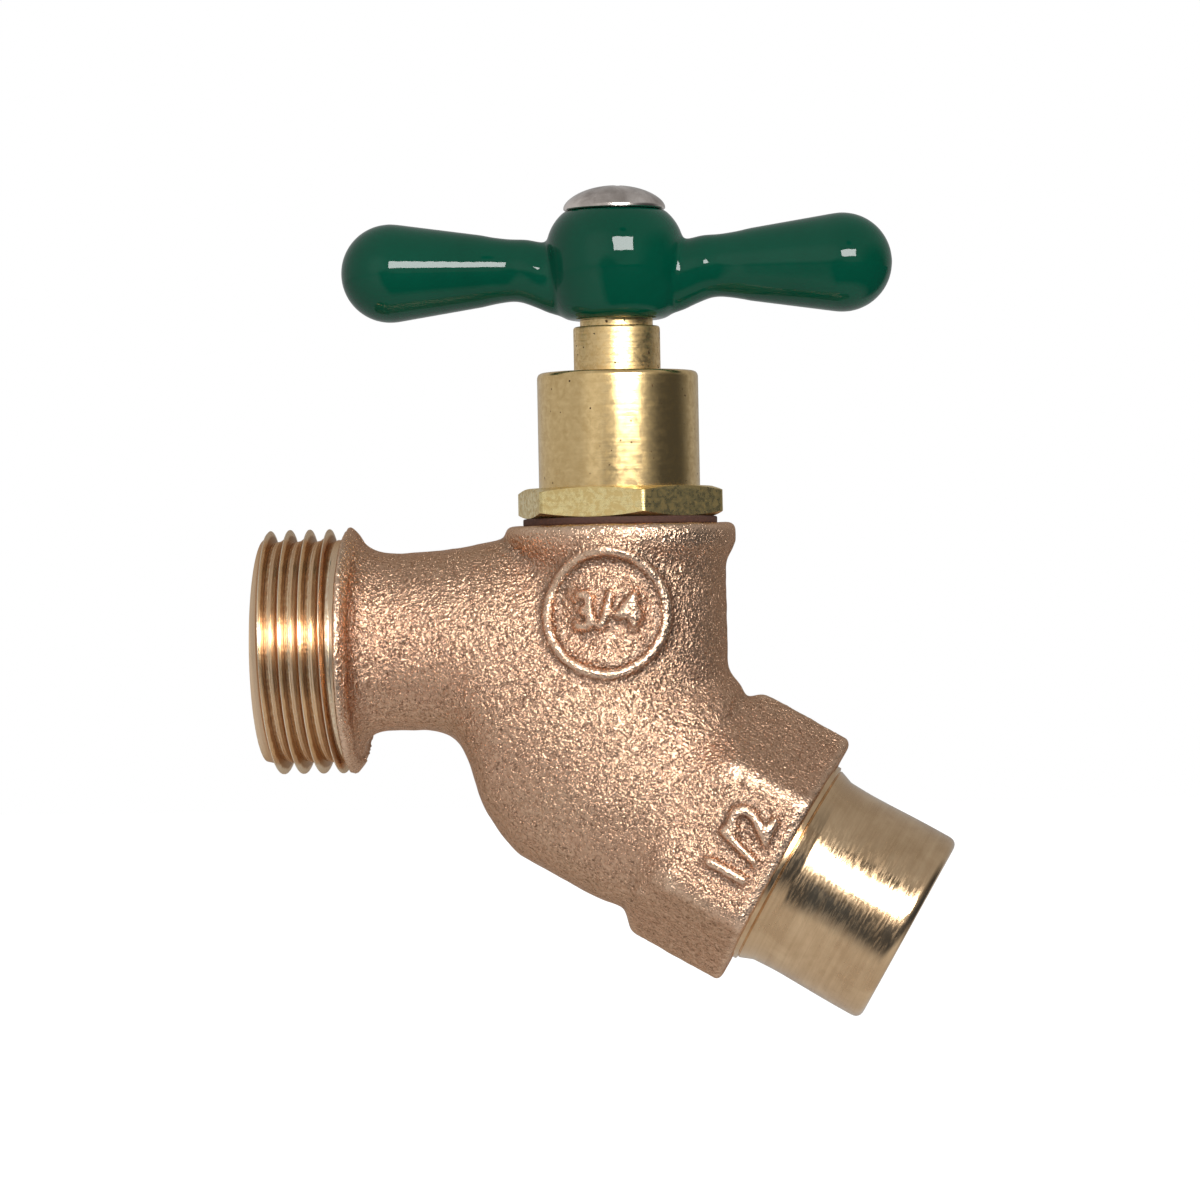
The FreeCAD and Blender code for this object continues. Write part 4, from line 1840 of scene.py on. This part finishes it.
@dataclass
class Studio:
    """The pale floor, the sky with its cards, the soft box and the camera.

    Distances are in metres and angles in degrees. The camera's aim is in millimetres from the neck's face.
    """

    floor_drop: float = 0.06
    floor_size: float = 4.0
    floor_level: float = 0.8
    wedge_way: Corner = (0.84, -0.54, 0.0)
    wedge_span: Point = (0.05, 0.28)
    wedge_start: Point = (0.08, 0.14)
    wedge_colour: Colour = (0.08, 0.095, 0.12)
    dark_right: SkyCard = SkyCard((1.0, -0.08, -0.25), 26.0, 50.0, 0.16)
    dark_front: SkyCard = SkyCard((-0.12, -0.95, -0.25), 15.0, 22.0, 0.22)
    dark_above: SkyCard = SkyCard((0.2803, -0.7021, 0.6544), 4.0, 6.0, 0.12)
    pale_left: SkyCard = SkyCard((-1.0, -0.1, 0.1), 50.0, 100.0, 1.3)
    pale_front: SkyCard = SkyCard((-0.37, -0.90, 0.24), 10.0, 28.0, 1.5)
    gloss_level: float = 0.36
    fill_level: float = 0.45
    box_azimuth: float = 19.0
    box_elevation: float = 18.5
    box_distance: float = 1.4
    box_width: float = 32.0
    box_height: float = 16.0
    box_shine: float = 20.0
    box_light: float = 11.0
    camera_azimuth: float = 5.6
    camera_roll: float = 1.1
    camera_distance: float = 0.55
    camera_lens: float = 150.1
    camera_sensor: float = 36.0
    camera_aim: Point = (-2.4, -8.2)

    def chalk(self) -> bpy.types.Material:
        """Build the floor's finish: white to the camera, pale to light, with a dark wedge for gloss.

        Returns:
            The material.
        """
        material = bpy.data.materials.new("pale_floor")
        material.use_nodes = True
        material.node_tree.nodes.clear()
        graph = Graph(material.node_tree)
        seen = graph.add("ShaderNodeLightPath").outputs
        level = graph.stretch(graph.add("ShaderNodeTexCoord").outputs["Object"], (1.0, 1.0, 0.0))
        reach = graph.add("ShaderNodeVectorMath", {0: level}, operation="LENGTH").outputs["Value"]
        way = graph.add("ShaderNodeVectorMath", {0: level}, operation="NORMALIZE").outputs[0]
        wedge = graph.span(graph.facing(way, self.wedge_way), *self.wedge_span)
        wedge = graph.times(wedge, graph.span(reach, *self.wedge_start))
        pale = (self.floor_level, self.floor_level, self.floor_level)
        tone = graph.mix(graph.times(wedge, seen["Is Glossy Ray"]), pale, self.wedge_colour)
        matt = graph.add("ShaderNodeBsdfDiffuse", {"Color": tone}).outputs[0]
        strength = graph.times(seen["Is Camera Ray"], self.floor_level)
        feeds = {"Color": (1.0, 1.0, 1.0, 1.0), "Strength": strength}
        glow = graph.add("ShaderNodeEmission", feeds).outputs[0]
        both = graph.add("ShaderNodeAddShader", {0: matt, 1: glow}).outputs[0]
        graph.add("ShaderNodeOutputMaterial", {"Surface": both})
        return material

    def floor(self) -> None:
        """Lay the pale floor below the tap."""
        low = cad_box[0]
        mesh = bmesh.new()
        bmesh.ops.create_grid(mesh, x_segments=1, y_segments=1, size=self.floor_size / 2)
        bmesh.ops.translate(mesh, verts=mesh.verts, vec=(low.x, 0.0, low.z - self.floor_drop))
        floor = as_object(mesh, "floor")
        floor.data.materials.append(self.chalk())

    def sky(self) -> None:
        """Make the world: white to the camera, and to gloss a grey room with dark and pale cards."""
        world = bpy.data.worlds.new("studio")
        world.use_nodes = True
        world.node_tree.nodes.clear()
        bpy.context.scene.world = world
        graph = Graph(world.node_tree)
        seen = graph.add("ShaderNodeLightPath").outputs
        way = graph.add("ShaderNodeTexCoord").outputs["Generated"]
        around: Feed = self.gloss_level
        for card in (self.dark_right, self.dark_front, self.dark_above, self.pale_left, self.pale_front):
            around = graph.times(around, card.laid_in(graph, way))
        gloss = graph.calc("MAXIMUM", seen["Is Glossy Ray"], seen["Is Transmission Ray"])
        change = graph.times(gloss, graph.calc("SUBTRACT", around, self.fill_level))
        level = graph.calc("ADD", change, self.fill_level)
        strength = graph.calc("MAXIMUM", level, seen["Is Camera Ray"])
        feeds = {"Color": (1.0, 1.0, 1.0, 1.0), "Strength": strength}
        light = graph.add("ShaderNodeBackground", feeds).outputs[0]
        graph.add("ShaderNodeOutputWorld", {"Surface": light})

    def soft_box(self, name: str, level: float, glossy: bool) -> None:
        """Hang a soft box in front, above and to the right of the tap.

        Args:
            name: The lamp's name.
            level: How bright its face is.
            glossy: True if only gloss sees it, False if only matt surfaces do.
        """
        azimuth, elevation = math.radians(self.box_azimuth), math.radians(self.box_elevation)
        back = Vector((
            math.sin(azimuth) * math.cos(elevation),
            -math.cos(azimuth) * math.cos(elevation),
            math.sin(elevation),
        ))
        data = bpy.data.lights.new(name, "AREA")
        data.shape = "RECTANGLE"
        data.size = 2 * self.box_distance * math.tan(math.radians(self.box_width / 2))
        data.size_y = 2 * self.box_distance * math.tan(math.radians(self.box_height / 2))
        data.energy = level * data.size * data.size_y * math.pi
        lamp = bpy.data.objects.new(name, data)
        lamp.visible_glossy = lamp.visible_transmission = glossy
        lamp.visible_diffuse = not glossy
        lamp.location = datum.neck_face + back * self.box_distance
        lamp.rotation_euler = back.to_track_quat("Z", "Y").to_euler()
        bpy.context.scene.collection.objects.link(lamp)

    def camera(self) -> None:
        """Set the camera at the photograph's angle, a little turned about its own axis."""
        data = bpy.data.cameras.new("camera")
        data.sensor_width = self.camera_sensor
        data.lens = self.camera_lens
        data.clip_start = 0.01
        azimuth, roll = math.radians(self.camera_azimuth), math.radians(self.camera_roll)
        aim = datum.neck_face + Vector((self.camera_aim[0] * MM, 0, self.camera_aim[1] * MM))
        back = Vector((math.sin(azimuth), -math.cos(azimuth), 0.0))
        level_right = Vector((math.cos(azimuth), math.sin(azimuth), 0.0))
        up = Vector((0.0, 0.0, 1.0))
        right = level_right * math.cos(roll) - up * math.sin(roll)
        top = level_right * math.sin(roll) + up * math.cos(roll)
        turn = Matrix((right, top, back)).transposed().to_4x4()
        camera = bpy.data.objects.new("camera", data)
        camera.matrix_world = Matrix.Translation(aim + back * self.camera_distance) @ turn
        bpy.context.scene.collection.objects.link(camera)
        bpy.context.scene.camera = camera

    def build(self) -> None:
        """Build the studio."""
        bpy.context.scene.view_settings.view_transform = "Standard"
        self.floor()
        self.sky()
        self.soft_box("box_shine", self.box_shine, glossy=True)
        self.soft_box("box_light", self.box_light, glossy=False)
        self.camera()


def main() -> None:
    """Build every piece in order, then the studio."""
    logging.basicConfig(level=logging.INFO, format="%(name)s: %(message)s")
    pieces = (
        Casting(), HoseThread(), Spigot(), PackingNut(), Gasket(), Stem(), Handle(), HandleScrew(),
        HiddenSeals(),
    )
    for piece in pieces:
        piece.build()
    Studio().build()


if __name__ == "__main__":
    main()
